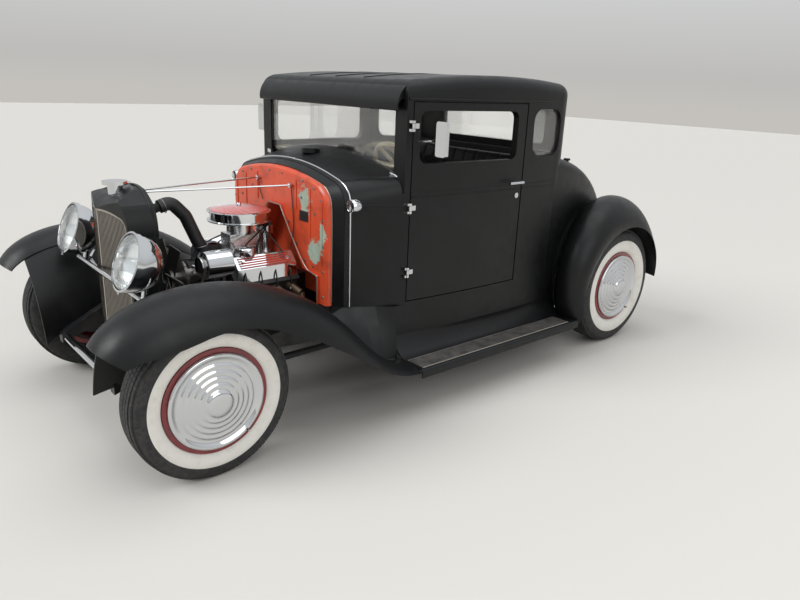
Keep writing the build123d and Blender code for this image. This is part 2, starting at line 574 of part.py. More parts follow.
# station and height of the crown, forward lean of the section, outer x, drop of the lip,
# inner x, drop of the inner edge
FRONT_FENDER = [
    (-405, 597, 56, 800, 80, 560, 30),
    (-330, 676, 45, 828, 132, 545, 45),
    (-207, 733, 27, 835, 152, 535, 55),
    (34, 757, -4, 835, 132, 530, 60),
    (305, 698, -24, 835, 134, 530, 58),
    (544, 561, -38, 835, 124, 560, 42),
    (700, 410, -40, 835, 82, 602, 28),
    (850, 275, -25, 834, 36, 634, 18),
    (975, 238, 0, 832, 22, 646, 8),
]
# station, then x and height of the inner panel's top and of its foot
FRONT_VALANCE = [
    (-318, 556, 632, 318, 274),
    (-182, 538, 680, 368, 322),
    (38, 534, 692, 368, 345),
    (281, 534, 640, 368, 362),
    (519, 562, 528, 391, 400),
]
# the apron from the fender's inner edge up to the body: station, x and height of its outer edge and of its top
FRONT_APRON = [
    (519, 566, 524, 391, 400),
    (640, 598, 422, 432, 418),
    (700, 611, 374, 470, 446),
    (770, 627, 313, 483, 479),
    (850, 641, 256, 525, 479),
    (905, 647, 240, 556, 479),
    (974, 653, 231, 610, 479),
]
APRON_WALL = 5.0
with BuildPart() as front_fenders:
    loft([fender_section(leaning_plane(AXLE_Y + y, z, lean), out_x, -lip, in_x, -inner, 0)
          for y, z, lean, out_x, lip, in_x, inner in FRONT_FENDER])
    valance = []
    for y, top_x, top_z, foot_x, foot_z in FRONT_VALANCE:
        with BuildSketch(Plane.XZ.offset(-AXLE_Y - y)) as section:
            with BuildLine():
                middle = (foot_x + 0.42 * (top_x - foot_x), foot_z + 0.60 * (top_z - foot_z))
                ThreePointArc((top_x, top_z), middle, (foot_x, foot_z))
                Line((foot_x, foot_z), (foot_x + FENDER_WALL, foot_z - 3))
                ThreePointArc((foot_x + FENDER_WALL, foot_z - 3), (middle[0] + 5, middle[1] - 4),
                              (top_x + 5, top_z - 5))
                Line((top_x + 5, top_z - 5), (top_x, top_z))
            make_face()
        valance.append(section.sketch)
    loft(valance)
    apron = []
    for y, edge_x, edge_z, top_x, top_z in FRONT_APRON:
        long = hypot(top_x - edge_x, top_z - edge_z)
        step_x = (edge_z - top_z) * APRON_WALL / long
        step_z = (top_x - edge_x) * APRON_WALL / long
        with BuildSketch(Plane.XZ.offset(-AXLE_Y - y)) as section:
            with BuildLine():
                Polyline((edge_x, edge_z), (top_x, top_z), (top_x + step_x, top_z + step_z),
                         (edge_x + step_x, edge_z + step_z), close=True)
            make_face()
        apron.append(section.sketch)
    loft(apron, ruled=True)
    block((300, 900), (AXLE_Y - FRONT_OVERHANG - 40, AXLE_Y - FRONT_OVERHANG), (200, 800), mode=Mode.SUBTRACT)
    add(frame_rails.part, mode=Mode.SUBTRACT)
    drop_offcuts(front_fenders)
    mirror(about=Plane.YZ)

# angle from straight ahead, radius of the crown, radius of the lip, inner x, outer x
REAR_FENDER = [
    (-18, 462, 436, 646, 832),
    (8, 502, 402, 650, 833),
    (38, 538, 386, 642, 833),
    (70, 549, 379, 601, 833),
    (100, 534, 376, 545, 833),
    (130, 494, 380, 494, 828),
    (158, 455, 392, 476, 815),
    (179, 440, 404, 474, 800),
]
REAR_FENDER_DROP = 40.0
with BuildPart() as rear_fenders:
    loft([fender_section(leaning_plane(REAR_AXLE_Y, REAR_HUB_Z, 90 - turn), out_x, lip, in_x,
                         crown - REAR_FENDER_DROP, crown)
          for turn, crown, lip, in_x, out_x in REAR_FENDER])
    add(shell.part, mode=Mode.SUBTRACT)
    block((300, 900), (LENGTH / 2, LENGTH / 2 + 40), (100, 800), mode=Mode.SUBTRACT)
    mirror(about=Plane.YZ)

# Running boards with their splash aprons, lofted through three sections
BOARD_FRONT_Y = AXLE_Y + 975.0 + FIT
BOARD_REAR_Y = AXLE_Y + 2186.0
BOARD_Z = 232.0
BOARD_THICK = 6.0
SPLASH_TOP_Z = BODY_BOTTOM - FIT
# station and x of the splash apron's top
SPLASH = [(BOARD_FRONT_Y, 611.0), (AXLE_Y + 1560, 648.0), (BOARD_REAR_Y, 632.0)]
MAT_X = (712.0, 812.0)
MAT_TOP_Z = BOARD_Z + 2.0
with BuildPart() as running_boards:
    boards = []
    for y, top_x in SPLASH:
        with BuildSketch(Plane.XZ.offset(-y)) as section:
            with BuildLine():
                Line((top_x, SPLASH_TOP_Z), (top_x, 330))
                ThreePointArc((top_x, 330), (664, 256), (708, BOARD_Z))
                Line((708, BOARD_Z), (816, BOARD_Z))
                ThreePointArc((816, BOARD_Z), (827, BOARD_Z - 5), (832, BOARD_Z - 16))
                Line((832, BOARD_Z - 16), (832, BOARD_Z - 42))
                Line((832, BOARD_Z - 42), (826, BOARD_Z - 42))
                Line((826, BOARD_Z - 42), (826, BOARD_Z - 16))
                ThreePointArc((826, BOARD_Z - 16), (823, BOARD_Z - 9), (816, BOARD_Z - 6))
                Line((816, BOARD_Z - 6), (706, BOARD_Z - 6))
                ThreePointArc((706, BOARD_Z - 6), (659, 252), (top_x - 6, 330))
                Line((top_x - 6, 330), (top_x - 6, SPLASH_TOP_Z))
                Line((top_x - 6, SPLASH_TOP_Z), (top_x, SPLASH_TOP_Z))
            make_face()
        boards.append(section.sketch)
    loft(boards)
    block(MAT_X, (BOARD_FRONT_Y + 12, BOARD_REAR_Y - 76), (MAT_TOP_Z - BOARD_THICK, MAT_TOP_Z))
    add(rear_fenders.part, mode=Mode.SUBTRACT)
    drop_offcuts(running_boards)
    mirror(about=Plane.YZ)

# Floor: a pan on the rails with a sill under the body's walls, and the deck's floor behind
FLOOR_THICK = 12.0
SILL_IN = 12.0
SILL_WIDE = 14.0
FLOOR_FRONT_Y = COWL_FRONT_Y + 4.0
BULKHEAD_Y = AXLE_Y + 2092.0
TUNNEL_HALF = 120.0
TUNNEL_TOP = 560.0
TUNNEL_WALL = 4.0
TUNNEL_REAR_Y = AXLE_Y + 1330.0


def floor_plan(inset):
    """Half of the floor's outline in plan, from the firewall to the bulkhead."""
    with BuildSketch(Plane.XY.offset(RAIL_TOP + FIT)) as plan:
        with BuildLine():
            side = body_side(inset)
            Polyline(side @ 1, ((side @ 1).X, BULKHEAD_Y), (0, BULKHEAD_Y), (0, FLOOR_FRONT_Y),
                     (COWL_FRONT_HALF - inset, FLOOR_FRONT_Y), (BAND_HALF - inset, BAND_Y), side @ 0)
        make_face()
        mirror(about=Plane.YZ)
    return plan.sketch


with BuildPart() as floor:
    extrude(floor_plan(SILL_IN), amount=BODY_BOTTOM - RAIL_TOP - 2 * FIT)
    extrude(Plane.XY.offset(FLOOR_THICK) * floor_plan(SILL_IN + SILL_WIDE), amount=200,
            mode=Mode.SUBTRACT)
    block((-TUNNEL_HALF, TUNNEL_HALF), (FLOOR_FRONT_Y, TUNNEL_REAR_Y), (RAIL_TOP, TUNNEL_TOP))
    block((-TUNNEL_HALF + TUNNEL_WALL, TUNNEL_HALF - TUNNEL_WALL), (FIREWALL_Y, TUNNEL_REAR_Y - TUNNEL_WALL),
          (RAIL_TOP - 1, TUNNEL_TOP - TUNNEL_WALL), mode=Mode.SUBTRACT)
    block((-590, 590), (BULKHEAD_Y - FLOOR_THICK, BULKHEAD_Y), (RAIL_TOP + FIT, KICK_TOP + 40))
    with BuildSketch(Plane.XY.offset(KICK_TOP + FIT)):
        with BuildLine():
            Polyline((0, BULKHEAD_Y - 1), (580, BULKHEAD_Y - 1), (470, LID_FRONT_Y + 240),
                     (380, RAIL_END_Y), (0, RAIL_END_Y), close=True)
        make_face()
        mirror(about=Plane.YZ)
    extrude(amount=FLOOR_THICK)

# Firewall: a rounded pan against the cowl's ledge, cut away for the engine, with a box behind
FIREWALL_THICK = 6.0
FIREWALL_ROUND = 20.0
PAN_REAR_Y = COWL_FRONT_Y - FIT
# as a section of the cowl, without its station
PAN_OUTLINE = (COWL_FRONT_HALF - 4.0, 1082.0, 1036.0, 73.0, 930.0)
# half width and height down one side of the recess
RECESS = [(54, 900), (250, 631), (375, 615), (375, BODY_BOTTOM)]
BOX_DEEP = 95.0
BOX_WALL = 4.0
BOX_PROUD = 10.0
# x, from height and to height of the pressed ribs on each side of the recess
FIREWALL_RIBS = [(180, 900, 1035), (300, 780, 1010), (395, 660, 965)]
RIB_HALF = 7.0
RIB_PROUD = 4.0


def recess_outline(inset, plane):
    """The opening of the firewall's recess, drawn in by the thickness of its box."""
    with BuildSketch(plane) as outline:
        with BuildLine():
            half = [(x - inset, z - (inset if z > BODY_BOTTOM else 0)) for x, z in RECESS]
            Polyline(*half, *[(-x, z) for x, z in reversed(half)], close=True)
        make_face()
    return outline.sketch


def pan_form(wall):
    """The firewall's pan as a filled form, drawn in by its wall, with its front edges rounded off."""
    sections = [cowl_arch((PAN_REAR_Y + (1 if wall else 0), *PAN_OUTLINE), wall, BODY_BOTTOM - wall)]
    for turn in (0, 30, 60, 90):
        inset = FIREWALL_ROUND * (1 - cos(radians(turn)))
        station = FIREWALL_Y + wall + FIREWALL_ROUND * (1 - sin(radians(turn)))
        sections.append(cowl_arch((station, *PAN_OUTLINE), wall + inset, BODY_BOTTOM - wall))
    with BuildPart() as form:
        loft(sections, ruled=True)
    return form.part


with BuildPart() as firewall:
    add(pan_form(0))
    add(pan_form(FIREWALL_THICK), mode=Mode.SUBTRACT)
    recess_back = Plane.XZ.offset(-FIREWALL_Y - BOX_DEEP)
    extrude(recess_outline(0, recess_back), amount=BOX_DEEP + BOX_PROUD)
    extrude(recess_outline(BOX_WALL, recess_back.offset(BOX_WALL)), amount=BOX_DEEP + 60, mode=Mode.SUBTRACT)
    block((-TUNNEL_HALF - FIT, TUNNEL_HALF + FIT), (FIREWALL_Y - 1, FIREWALL_Y + BOX_DEEP + 1),
          (400, TUNNEL_TOP + FIT), mode=Mode.SUBTRACT)
    for side, sign in SIDES:
        for x, low, high in FIREWALL_RIBS:
            block(sorted((sign * (x - RIB_HALF), sign * (x + RIB_HALF))), (FIREWALL_Y - RIB_PROUD, FIREWALL_Y),
                  (low, high))

# Bright band round the cowl's front edge, and the filler cap on its top
BAND_WIDE = 24.0
BAND_PROUD = 4.0
band_share = BAND_WIDE / (DOOR_FRONT_Y - BAND_Y)
band_rear = [low + band_share * (high - low) for low, high in zip(*COWL_SECTIONS[1:])]
with BuildPart() as cowl_band:
    loft([cowl_arch(section, -BAND_PROUD, BODY_BOTTOM + 2) for section in (COWL_SECTIONS[1], band_rear)])
    add(cowl_form.part, mode=Mode.SUBTRACT)

# Filler caps: the round one on the cowl and the small knob on the left of the deck
COWL_CAP = (0.0, AXLE_Y + 908.0, 1138.0)
DECK_CAP = (552.0, AXLE_Y + 2290.0, 1088.0)
with BuildPart() as filler_caps:
    for (x, y, z), neck, knob, tall in ((COWL_CAP, 46, 36, 12), (DECK_CAP, 11, 19, 14)):
        bar((x, y, z), (x, y, z + tall + 8), neck)
        bar((x, y, z + tall), (x, y, z + tall + 11), knob)
    for piece in (cowl_form.part, shell.part):
        add(piece, mode=Mode.SUBTRACT)

# Grille shell: a domed surround drawn out behind a peaked front, open for the insert
SHELL_TOP = 1036.0
SHELL_HALF = 212.0
SHELL_FOOT_HALF = 222.0
SHELL_FRONT_Y = AXLE_Y - 146.0
SHELL_REAR_Y = AXLE_Y + 30.0
SHELL_RAKE = 56.0
SHELL_WALL = 10.0
# down one side of the shell's outline: x and height, and the shares of an inset taken sideways and down
SHELL_CONTOUR = [
    (0, SHELL_TOP, 0, 1), (47, SHELL_TOP - 3, 0.15, 1), (93, SHELL_TOP - 11, 0.35, 0.95),
    (136, SHELL_TOP - 33, 0.5, 0.85), (177, SHELL_TOP - 59, 0.7, 0.7), (200, SHELL_TOP - 97, 0.95, 0.3),
    (SHELL_HALF, SHELL_TOP - 190, 1, 0.3),
]
# station and height of the shell's top from the front back, in its middle
SHELL_DOME = [
    (SHELL_FRONT_Y + 6, 950), (AXLE_Y - 115, 984), (AXLE_Y - 68, 1004), (AXLE_Y - 20, 1025),
    (SHELL_REAR_Y, SHELL_TOP),
]
# the opening for the insert: half width at its shoulder, shoulder, half width and height of its corner, middle
OPEN_HALF = 203.0
OPEN_SHOULDER = 880.0
OPEN_CORNER = (180.0, 924.0)
OPEN_TOP = 946.0
OPEN_BOTTOM = SHELL_BOTTOM + 32.0


def shell_form(inset, deep):
    """The grille shell as a filled form from its rear forwards, drawn in by an inset."""
    with BuildPart() as form:
        with BuildSketch(Plane.XZ.offset(-SHELL_REAR_Y)):
            with BuildLine():
                side = [(x - across * inset, z - down * inset) for x, z, across, down in SHELL_CONTOUR]
                for start, middle, end in zip(side[0:5:2], side[1:6:2], side[2:7:2]):
                    ThreePointArc(start, middle, end)
                foot = (SHELL_FOOT_HALF - inset, SHELL_BOTTOM + inset)
                Polyline(side[-1], foot, (0, SHELL_BOTTOM + inset), side[0])
            make_face()
            mirror(about=Plane.YZ)
        extrude(amount=deep)
        with BuildSketch(Plane.YZ):
            with BuildLine():
                dome = [(y, z - inset) for y, z in SHELL_DOME]
                ThreePointArc(*dome[0:3])
                ThreePointArc(*dome[2:5])
                Polyline(dome[-1], (SHELL_REAR_Y, 300), (SHELL_FRONT_Y - 1, 300),
                         (SHELL_FRONT_Y - 1, dome[0][1]), dome[0])
            make_face()
        extrude(amount=SHELL_FOOT_HALF + 10, both=True, mode=Mode.INTERSECT)
    return form.part


def grille_opening(inset):
    """The opening of the shell's front, drawn in by an inset, on the plane of the shell's rear."""
    half, top = OPEN_HALF - inset, OPEN_TOP - inset
    corner = (OPEN_CORNER[0] - 0.7 * inset, OPEN_CORNER[1] - 0.7 * inset)
    with BuildSketch(Plane.XZ.offset(-SHELL_REAR_Y)) as outline:
        with BuildLine():
            Polyline((0, top), (0, OPEN_BOTTOM + inset), (half, OPEN_BOTTOM + inset), (half, OPEN_SHOULDER))
            TangentArc((half, OPEN_SHOULDER), corner, tangent=(0, 1))
            ThreePointArc(corner, (0.6 * half, top - 6), (0, top))
        make_face()
        mirror(about=Plane.YZ)
    return outline.sketch


SHELL_DEEP = SHELL_REAR_Y - SHELL_FRONT_Y
with BuildPart() as grille_shell:
    add(shell_form(0, SHELL_DEEP))
    # the two sloping faces of the peaked front
    with BuildSketch(Plane.XY):
        with BuildLine():
            wide = SHELL_FOOT_HALF + 10
            Polyline((0, SHELL_FRONT_Y), (wide, SHELL_FRONT_Y + SHELL_RAKE), (wide, SHELL_FRONT_Y - 10),
                     (-wide, SHELL_FRONT_Y - 10), (-wide, SHELL_FRONT_Y + SHELL_RAKE), close=True)
        make_face()
    extrude(amount=1200, mode=Mode.SUBTRACT)
    add(shell_form(SHELL_WALL, SHELL_DEEP - SHELL_RAKE - 12), mode=Mode.SUBTRACT)
    extrude(grille_opening(0), amount=SHELL_DEEP + 1, mode=Mode.SUBTRACT)

BAR_WIDE = 3.0
BAR_PITCH = 9.0
BAR_DEEP = 7.0
CENTRE_BAR = 12.0
TRIM_WIDE = 8.0
CROSS_BARS = (520.0, 640.0, 760.0, 860.0)


def grille_slab(step, deep):
    """Half of the plan of a layer that follows the peaked front, set back by a step."""
    back = SHELL_FRONT_Y + step
    side = (SHELL_HALF, back + SHELL_RAKE * SHELL_HALF / (SHELL_FOOT_HALF + 10))
    return Polyline((0, back), side, (side[0], side[1] + deep), (0, back + deep), close=True)


with BuildPart() as grille_insert:
    # slats
    with BuildSketch(Plane.XY.offset(SHELL_BOTTOM)):
        with BuildLine():
            grille_slab(4, BAR_DEEP)
        make_face()
        for step in range(int(OPEN_HALF / BAR_PITCH)):
            with Locations((CENTRE_BAR / 2 + (step + 0.5) * BAR_PITCH, SHELL_FRONT_Y + 40)):
                Rectangle(BAR_PITCH - BAR_WIDE, 120, mode=Mode.SUBTRACT)
        mirror(about=Plane.YZ)
    extrude(amount=SHELL_TOP - SHELL_BOTTOM)
    # cross bars behind the slats
    for z in CROSS_BARS:
        with BuildSketch(Plane.XY.offset(z)):
            with BuildLine():
                grille_slab(4 + BAR_DEEP - 1, BAR_DEEP)
            make_face()
            mirror(about=Plane.YZ)
        extrude(amount=4)
    extrude(grille_opening(FIT), amount=SHELL_DEEP + 1, mode=Mode.INTERSECT)
with BuildPart() as grille_trim:
    extrude(grille_opening(FIT), amount=SHELL_DEEP + 1)
    extrude(grille_opening(TRIM_WIDE), amount=SHELL_DEEP + 1, mode=Mode.SUBTRACT)
    with BuildSketch(Plane.XY.offset(SHELL_BOTTOM)):
        with BuildLine():
            grille_slab(2, BAR_DEEP + 6)
        make_face()
        mirror(about=Plane.YZ)
    extrude(amount=SHELL_TOP - SHELL_BOTTOM, mode=Mode.INTERSECT)
with grille_insert:
    add(grille_trim.part)

# Radiator behind the shell: core, top and bottom tanks and the hose neck
CORE_HALF = 194.0
TANK_HALF = 165.0
CORE_FRONT_Y = AXLE_Y - 44.0
NECK_TOP_Z = 1006.0
with BuildPart() as radiator:
    block((-CORE_HALF, CORE_HALF), (CORE_FRONT_Y, CORE_FRONT_Y + 60), (470, 880))
    block((-TANK_HALF, TANK_HALF), (CORE_FRONT_Y - 6, CORE_FRONT_Y + 84), (880, 960))
    block((-CORE_HALF, CORE_HALF), (CORE_FRONT_Y - 6, CORE_FRONT_Y + 70), (430, 470))
    bar((0, CORE_FRONT_Y + 30, 955), (0, CORE_FRONT_Y + 30, NECK_TOP_Z), 24)
    bar((60, CORE_FRONT_Y + 80, 925), (60, CORE_FRONT_Y + 140, 940), 20)
    for side, sign in SIDES:
        block(sorted((sign * 120, sign * 160)), (AXLE_Y - 30, AXLE_Y + 20), (SHELL_BOTTOM + SHELL_WALL + FIT, 431))

CAP_Y = AXLE_Y - 58.0
CAP_TOP_Z = 1054.0
with BuildPart() as radiator_cap:
    bar((0, CAP_Y, 990), (0, CAP_Y, CAP_TOP_Z - 12), 30)
    bar((0, CAP_Y, CAP_TOP_Z - 14), (0, CAP_Y, CAP_TOP_Z), 51)
    # the pivot of the cap's lever, behind it
    block((-9, 9), (CAP_Y + 20, CAP_Y + 62), (1000, CAP_TOP_Z - 10))
    bar((-13, CAP_Y + 56, CAP_TOP_Z - 12), (13, CAP_Y + 56, CAP_TOP_Z - 12), 8)
    add(shell_form(0, SHELL_DEEP), mode=Mode.SUBTRACT)

HOSE_RADIUS = 29.0
with BuildPart() as radiator_hose:
    pipe([(60, CORE_FRONT_Y + 141, 941), (60, AXLE_Y + 150, 957), (60, AXLE_Y + 212, 892),
          (60, AXLE_Y + 262, 775), (60, AXLE_Y + 285, 735)], HOSE_RADIUS, 44)

# Headlamps: deep bowls with a rim, pitched up, and their lenses
LAMP_X = 360.0
LAMP_Z = 800.0
LENS_Y = AXLE_Y - 160.0
LAMP_PITCH = 20.5
LENS_RADIUS = 109.0
LAMP_RADIUS = 119.0
LAMP_DEEP = 138.0
LAMP_WALL = 6.0
lamp_back = (0, cos(radians(LAMP_PITCH)), -sin(radians(LAMP_PITCH)))
lamp_plane = Plane(origin=(LAMP_X, LENS_Y, LAMP_Z), x_dir=lamp_back, z_dir=(1, 0, 0))
lamp_axis = Axis((LAMP_X, LENS_Y, LAMP_Z), lamp_back)
with BuildPart() as headlamp_shells:
    with BuildSketch(lamp_plane):
        with BuildLine():
            # distance behind the lens and radius
            Polyline((6, LENS_RADIUS - 2), (2, LENS_RADIUS + FIT), (-6, LENS_RADIUS + 2), (-4, LAMP_RADIUS),
                     (14, LAMP_RADIUS), (16, LAMP_RADIUS - 5))
            TangentArc((LAMP_DEEP, 0), (16, LAMP_RADIUS - 5), tangent=(0, 1))
            Line((LAMP_DEEP, 0), (LAMP_DEEP - LAMP_WALL, 0))
            TangentArc((LAMP_DEEP - LAMP_WALL, 0), (6, LENS_RADIUS - 2), tangent=(0, 1))
        make_face()
    revolve(axis=lamp_axis)
    mirror(about=Plane.YZ)
with BuildPart() as headlamp_lenses:
    with BuildSketch(lamp_plane):
        with BuildLine():
            Polyline((-13, 0), (1.5, 0), (1.5, LENS_RADIUS), (-2.5, LENS_RADIUS))
            TangentArc((-13, 0), (-2.5, LENS_RADIUS), tangent=(0, 1))
        make_face()
    revolve(axis=lamp_axis)
    mirror(about=Plane.YZ)

# Headlamp bar: across ahead of the grille, down under the lamps and back to the fenders
LAMP_BAR_RADIUS = 10.0
# x, station from the axle and height of one half of the bar
LAMP_BAR = [(250, -162, 690), (LAMP_X, -105, 630), (440, -60, 628), (520, -10, 650)]
with BuildPart() as headlamp_bar:
    half_bar = [(x, AXLE_Y + y, z) for x, y, z in LAMP_BAR]
    pipe([(-x, y, z) for x, y, z in reversed(half_bar)] + half_bar, LAMP_BAR_RADIUS, 24)
    for side, sign in SIDES:
        bar((sign * LAMP_X, AXLE_Y - 105, 630), (sign * LAMP_X, AXLE_Y - 95, 690), 13)
        bar((sign * 440, AXLE_Y - 60, 628), (sign * 400, AXLE_Y - 30, 560), 8)
    add(headlamp_shells.part, mode=Mode.SUBTRACT)
    add(front_fenders.part, mode=Mode.SUBTRACT)
    drop_offcuts(headlamp_bar)

# Stay rods from a plate in the shell's top back to bolts on the firewall
ROD_RADIUS = 4.0
ROD_FRONT = (18.0, SHELL_REAR_Y - 12.0, 1003.0)
ROD_REAR = (152.0, FIREWALL_Y - 2.0, 1007.0)
with BuildPart() as stay_rods:
    for side, sign in SIDES:
        bolt = (sign * ROD_REAR[0], FIREWALL_Y - FIT, ROD_REAR[2])
        bar((sign * ROD_FRONT[0], *ROD_FRONT[1:]), (sign * ROD_REAR[0], *ROD_REAR[1:]), ROD_RADIUS)
        bar((bolt[0], bolt[1] - 20, bolt[2]), bolt, 11)
    block((-34, 34), (SHELL_REAR_Y - 16, SHELL_REAR_Y - 10), (992, SHELL_TOP - 4))
    add(grille_shell.part, mode=Mode.SUBTRACT)

# Engine: a V8 with its two banks at 45 degrees, sump, bellhousing and gearbox
ENGINE_FRONT_Y = AXLE_Y + 290.0
ENGINE_REAR_Y = AXLE_Y + 690.0
CRANK_Z = 430.0
BANK_LEAN = 45.0
DECK_OUT = 230.0
HEAD_FRONT_Y = AXLE_Y + 350.0
HEAD_REAR_Y = AXLE_Y + 678.0
HEAD_LENGTH = HEAD_REAR_Y - HEAD_FRONT_Y
HEAD_WIDE = 150.0
HEAD_TALL = 62.0
BELL_RADIUS = 104.0
BELL_DEEP = 130.0
GEARBOX_REAR_Y = ENGINE_REAR_Y + 560.0
SHAFT_Z = CRANK_Z - 45.0


def bank_plane(sign, above=0.0):
    """The plane of a bank's head gasket, with its x along the car, or one above it."""
    lean = radians(BANK_LEAN)
    out = Vector(sign * sin(lean), 0, cos(lean))
    origin = Vector(0, (HEAD_FRONT_Y + HEAD_REAR_Y) / 2, CRANK_Z) + out * (DECK_OUT + above)
    return Plane(origin=origin, x_dir=(0, 1, 0), z_dir=out)


with BuildPart() as engine_block:
    with BuildSketch(Plane.XZ.offset(-ENGINE_REAR_Y)):
        with BuildLine():
            Polyline((0, 300), (95, 300), (110, 340), (140, 380), (140, 440), (212, 540), (128, 628),
                     (95, 600), (0, 600), close=True)
        make_face()
        mirror(about=Plane.YZ)
    extrude(amount=ENGINE_REAR_Y - ENGINE_FRONT_Y)
    for side, sign in SIDES:
        with BuildSketch(bank_plane(sign, -1)):
            Rectangle(HEAD_LENGTH, HEAD_WIDE)
        extrude(amount=HEAD_TALL + 1 - FIT)
        # motor mounts, out to the rails
        block(sorted((sign * 100, sign * (RAIL_FRONT_X - RAIL_WIDTH - FIT))),
              (AXLE_Y + 305, AXLE_Y + 345), (334, 356))
    with BuildSketch(Plane.XZ.offset(-ENGINE_REAR_Y)):
        with Locations((0, CRANK_Z)):
            Circle(BELL_RADIUS)
    extrude(amount=-BELL_DEEP, taper=12)
    block((-84, 84), (ENGINE_REAR_Y + BELL_DEEP - 10, GEARBOX_REAR_Y), (CRANK_Z - 105, CRANK_Z + 84))
    bar((0, GEARBOX_REAR_Y - 5, SHAFT_Z), (0, GEARBOX_REAR_Y + 90, SHAFT_Z), 32)

with BuildPart() as driveshaft:
    bar((0, GEARBOX_REAR_Y + 92, SHAFT_Z), (0, REAR_AXLE_Y - DIFF_RADIUS + 6, REAR_HUB_Z + 4), 29)
    add(rear_axle.part, mode=Mode.SUBTRACT)

# Finned valve covers, one on each head
COVER_TALL = 46.0
# across the bank from its outer edge's opposite, and height: the finned top, and a smooth outer slope
COVER_SECTION = [(56, 0), (56, COVER_TALL), (-12, COVER_TALL), (-56, 2), (-56, 0)]
FIN_MIDDLE = 22.0
FIN_PITCH = 12.0
FIN_COUNT = 5
FIN_TALL = 7.0
FIN_WIDE = 5.0
with BuildPart() as valve_covers:
    for side, sign in SIDES:
        face = bank_plane(sign, HEAD_TALL)
        inward = 1 if (face.y_dir.X > 0) == (sign < 0) else -1
        with BuildSketch(Plane(origin=face.origin, x_dir=inward * face.y_dir, z_dir=face.x_dir)) as section:
            with BuildLine():
                up = 1 if section.workplanes[0].y_dir.dot(face.z_dir) > 0 else -1
                Polyline(*[(x, up * z) for x, z in COVER_SECTION], close=True)
            make_face()
        extrude(section.sketch, amount=(HEAD_LENGTH - 26) / 2, both=True)
        with BuildSketch(bank_plane(sign, HEAD_TALL + COVER_TALL - 1)):
            with Locations((0, inward * FIN_MIDDLE)):
                with GridLocations(0, FIN_PITCH, 1, FIN_COUNT):
                    Rectangle(HEAD_LENGTH - 60, FIN_WIDE)
        extrude(amount=FIN_TALL + 1)

# Intake manifold with its runners, carburettor and distributor, and the air cleaner on top
AIR_Y = AXLE_Y + 505.0
AIR_RADIUS = 150.0
AIR_BASE_Z = 828.0
AIR_TALL = 62.0
AIR_LIP = 12.0
RUNNER_PITCH = 78.0
SPARK_Y = HEAD_REAR_Y - 40.0
with BuildPart() as intake:
    block((-66, 66), (HEAD_FRONT_Y + 6, HEAD_REAR_Y - 6), (600 + FIT, 668))
    for step in range(4):
        y = HEAD_FRONT_Y + 46 + step * RUNNER_PITCH
        block((-112, 112), (y - 17, y + 17), (638, 672))
    block((-58, 58), (AIR_Y - 66, AIR_Y + 66), (660, 712))
    block((-48, 48), (AIR_Y - 74, AIR_Y + 74), (712, 776))
    bar((0, AIR_Y, 770), (0, AIR_Y, AIR_BASE_Z - FIT), 62)
    bar((0, SPARK_Y, 660), (0, SPARK_Y, 760), 30)
    bar((0, SPARK_Y, 760), (0, SPARK_Y, 800), 44)
    for piece in (engine_block, valve_covers):
        add(piece.part, mode=Mode.SUBTRACT)
with BuildPart() as air_cleaner:
    with BuildSketch(Plane.YZ):
        with BuildLine():
            edge = AIR_Y + AIR_RADIUS
            top = AIR_BASE_Z + AIR_TALL
            Polyline((AIR_Y, AIR_BASE_Z), (edge - 30, AIR_BASE_Z), (edge, AIR_BASE_Z + 8),
                     (edge, AIR_BASE_Z + 12), (edge - AIR_LIP, AIR_BASE_Z + 14), (edge - AIR_LIP, top - 12),
                     (edge, top - 10), (edge, top - 6))
            TangentArc((AIR_Y, top + 10), (edge, top - 6), tangent=(1, 0))
            Line((AIR_Y, top + 10), (AIR_Y, AIR_BASE_Z))
        make_face()
    revolve(axis=Axis((0, AIR_Y, 0), (0, 0, 1)))
    bar((0, AIR_Y, top + 9), (0, AIR_Y, top + 26), 9)

# Exhaust: four primaries a side into a collector, then a pipe with its silencer under the floor
HEADER_RADIUS = 18.0
PORT_PITCH = 78.0
COLLECTOR_X = 316.0
COLLECTOR_Y = AXLE_Y + 700.0
PIPE_Z = 284.0
PIPE_RADIUS = 25.0
SILENCER_RADIUS = 46.0
SILENCER = (AXLE_Y + 1560.0, AXLE_Y + 2040.0)
PIPE_END_Y = AXLE_Y + 2190.0
with BuildPart() as exhaust:
    for port in range(4):
        y = HEAD_FRONT_Y + 46 + port * PORT_PITCH
        bar((228, y, 556), (292, y + 30, 520), HEADER_RADIUS)
        bar((292, y + 30, 520), (COLLECTOR_X, COLLECTOR_Y - 60 + 12 * port, 386), HEADER_RADIUS)
    bar((COLLECTOR_X, COLLECTOR_Y - 70, 384), (COLLECTOR_X, COLLECTOR_Y + 100, PIPE_Z), 34)
    bar((COLLECTOR_X, COLLECTOR_Y + 90, PIPE_Z), (COLLECTOR_X, PIPE_END_Y, PIPE_Z), PIPE_RADIUS)
    bar((COLLECTOR_X, SILENCER[0], PIPE_Z), (COLLECTOR_X, SILENCER[1], PIPE_Z), SILENCER_RADIUS)
    for piece in (engine_block, frame_rails, floor, firewall):
        add(piece.part, mode=Mode.SUBTRACT)
    drop_offcuts(exhaust)
    mirror(about=Plane.YZ)

# Belt drive: pulleys on the crank and the pump, their belt and the fan
ALTERNATOR = (214.0, ENGINE_FRONT_Y - 74.0, 696.0)
PUMP_Z = 600.0
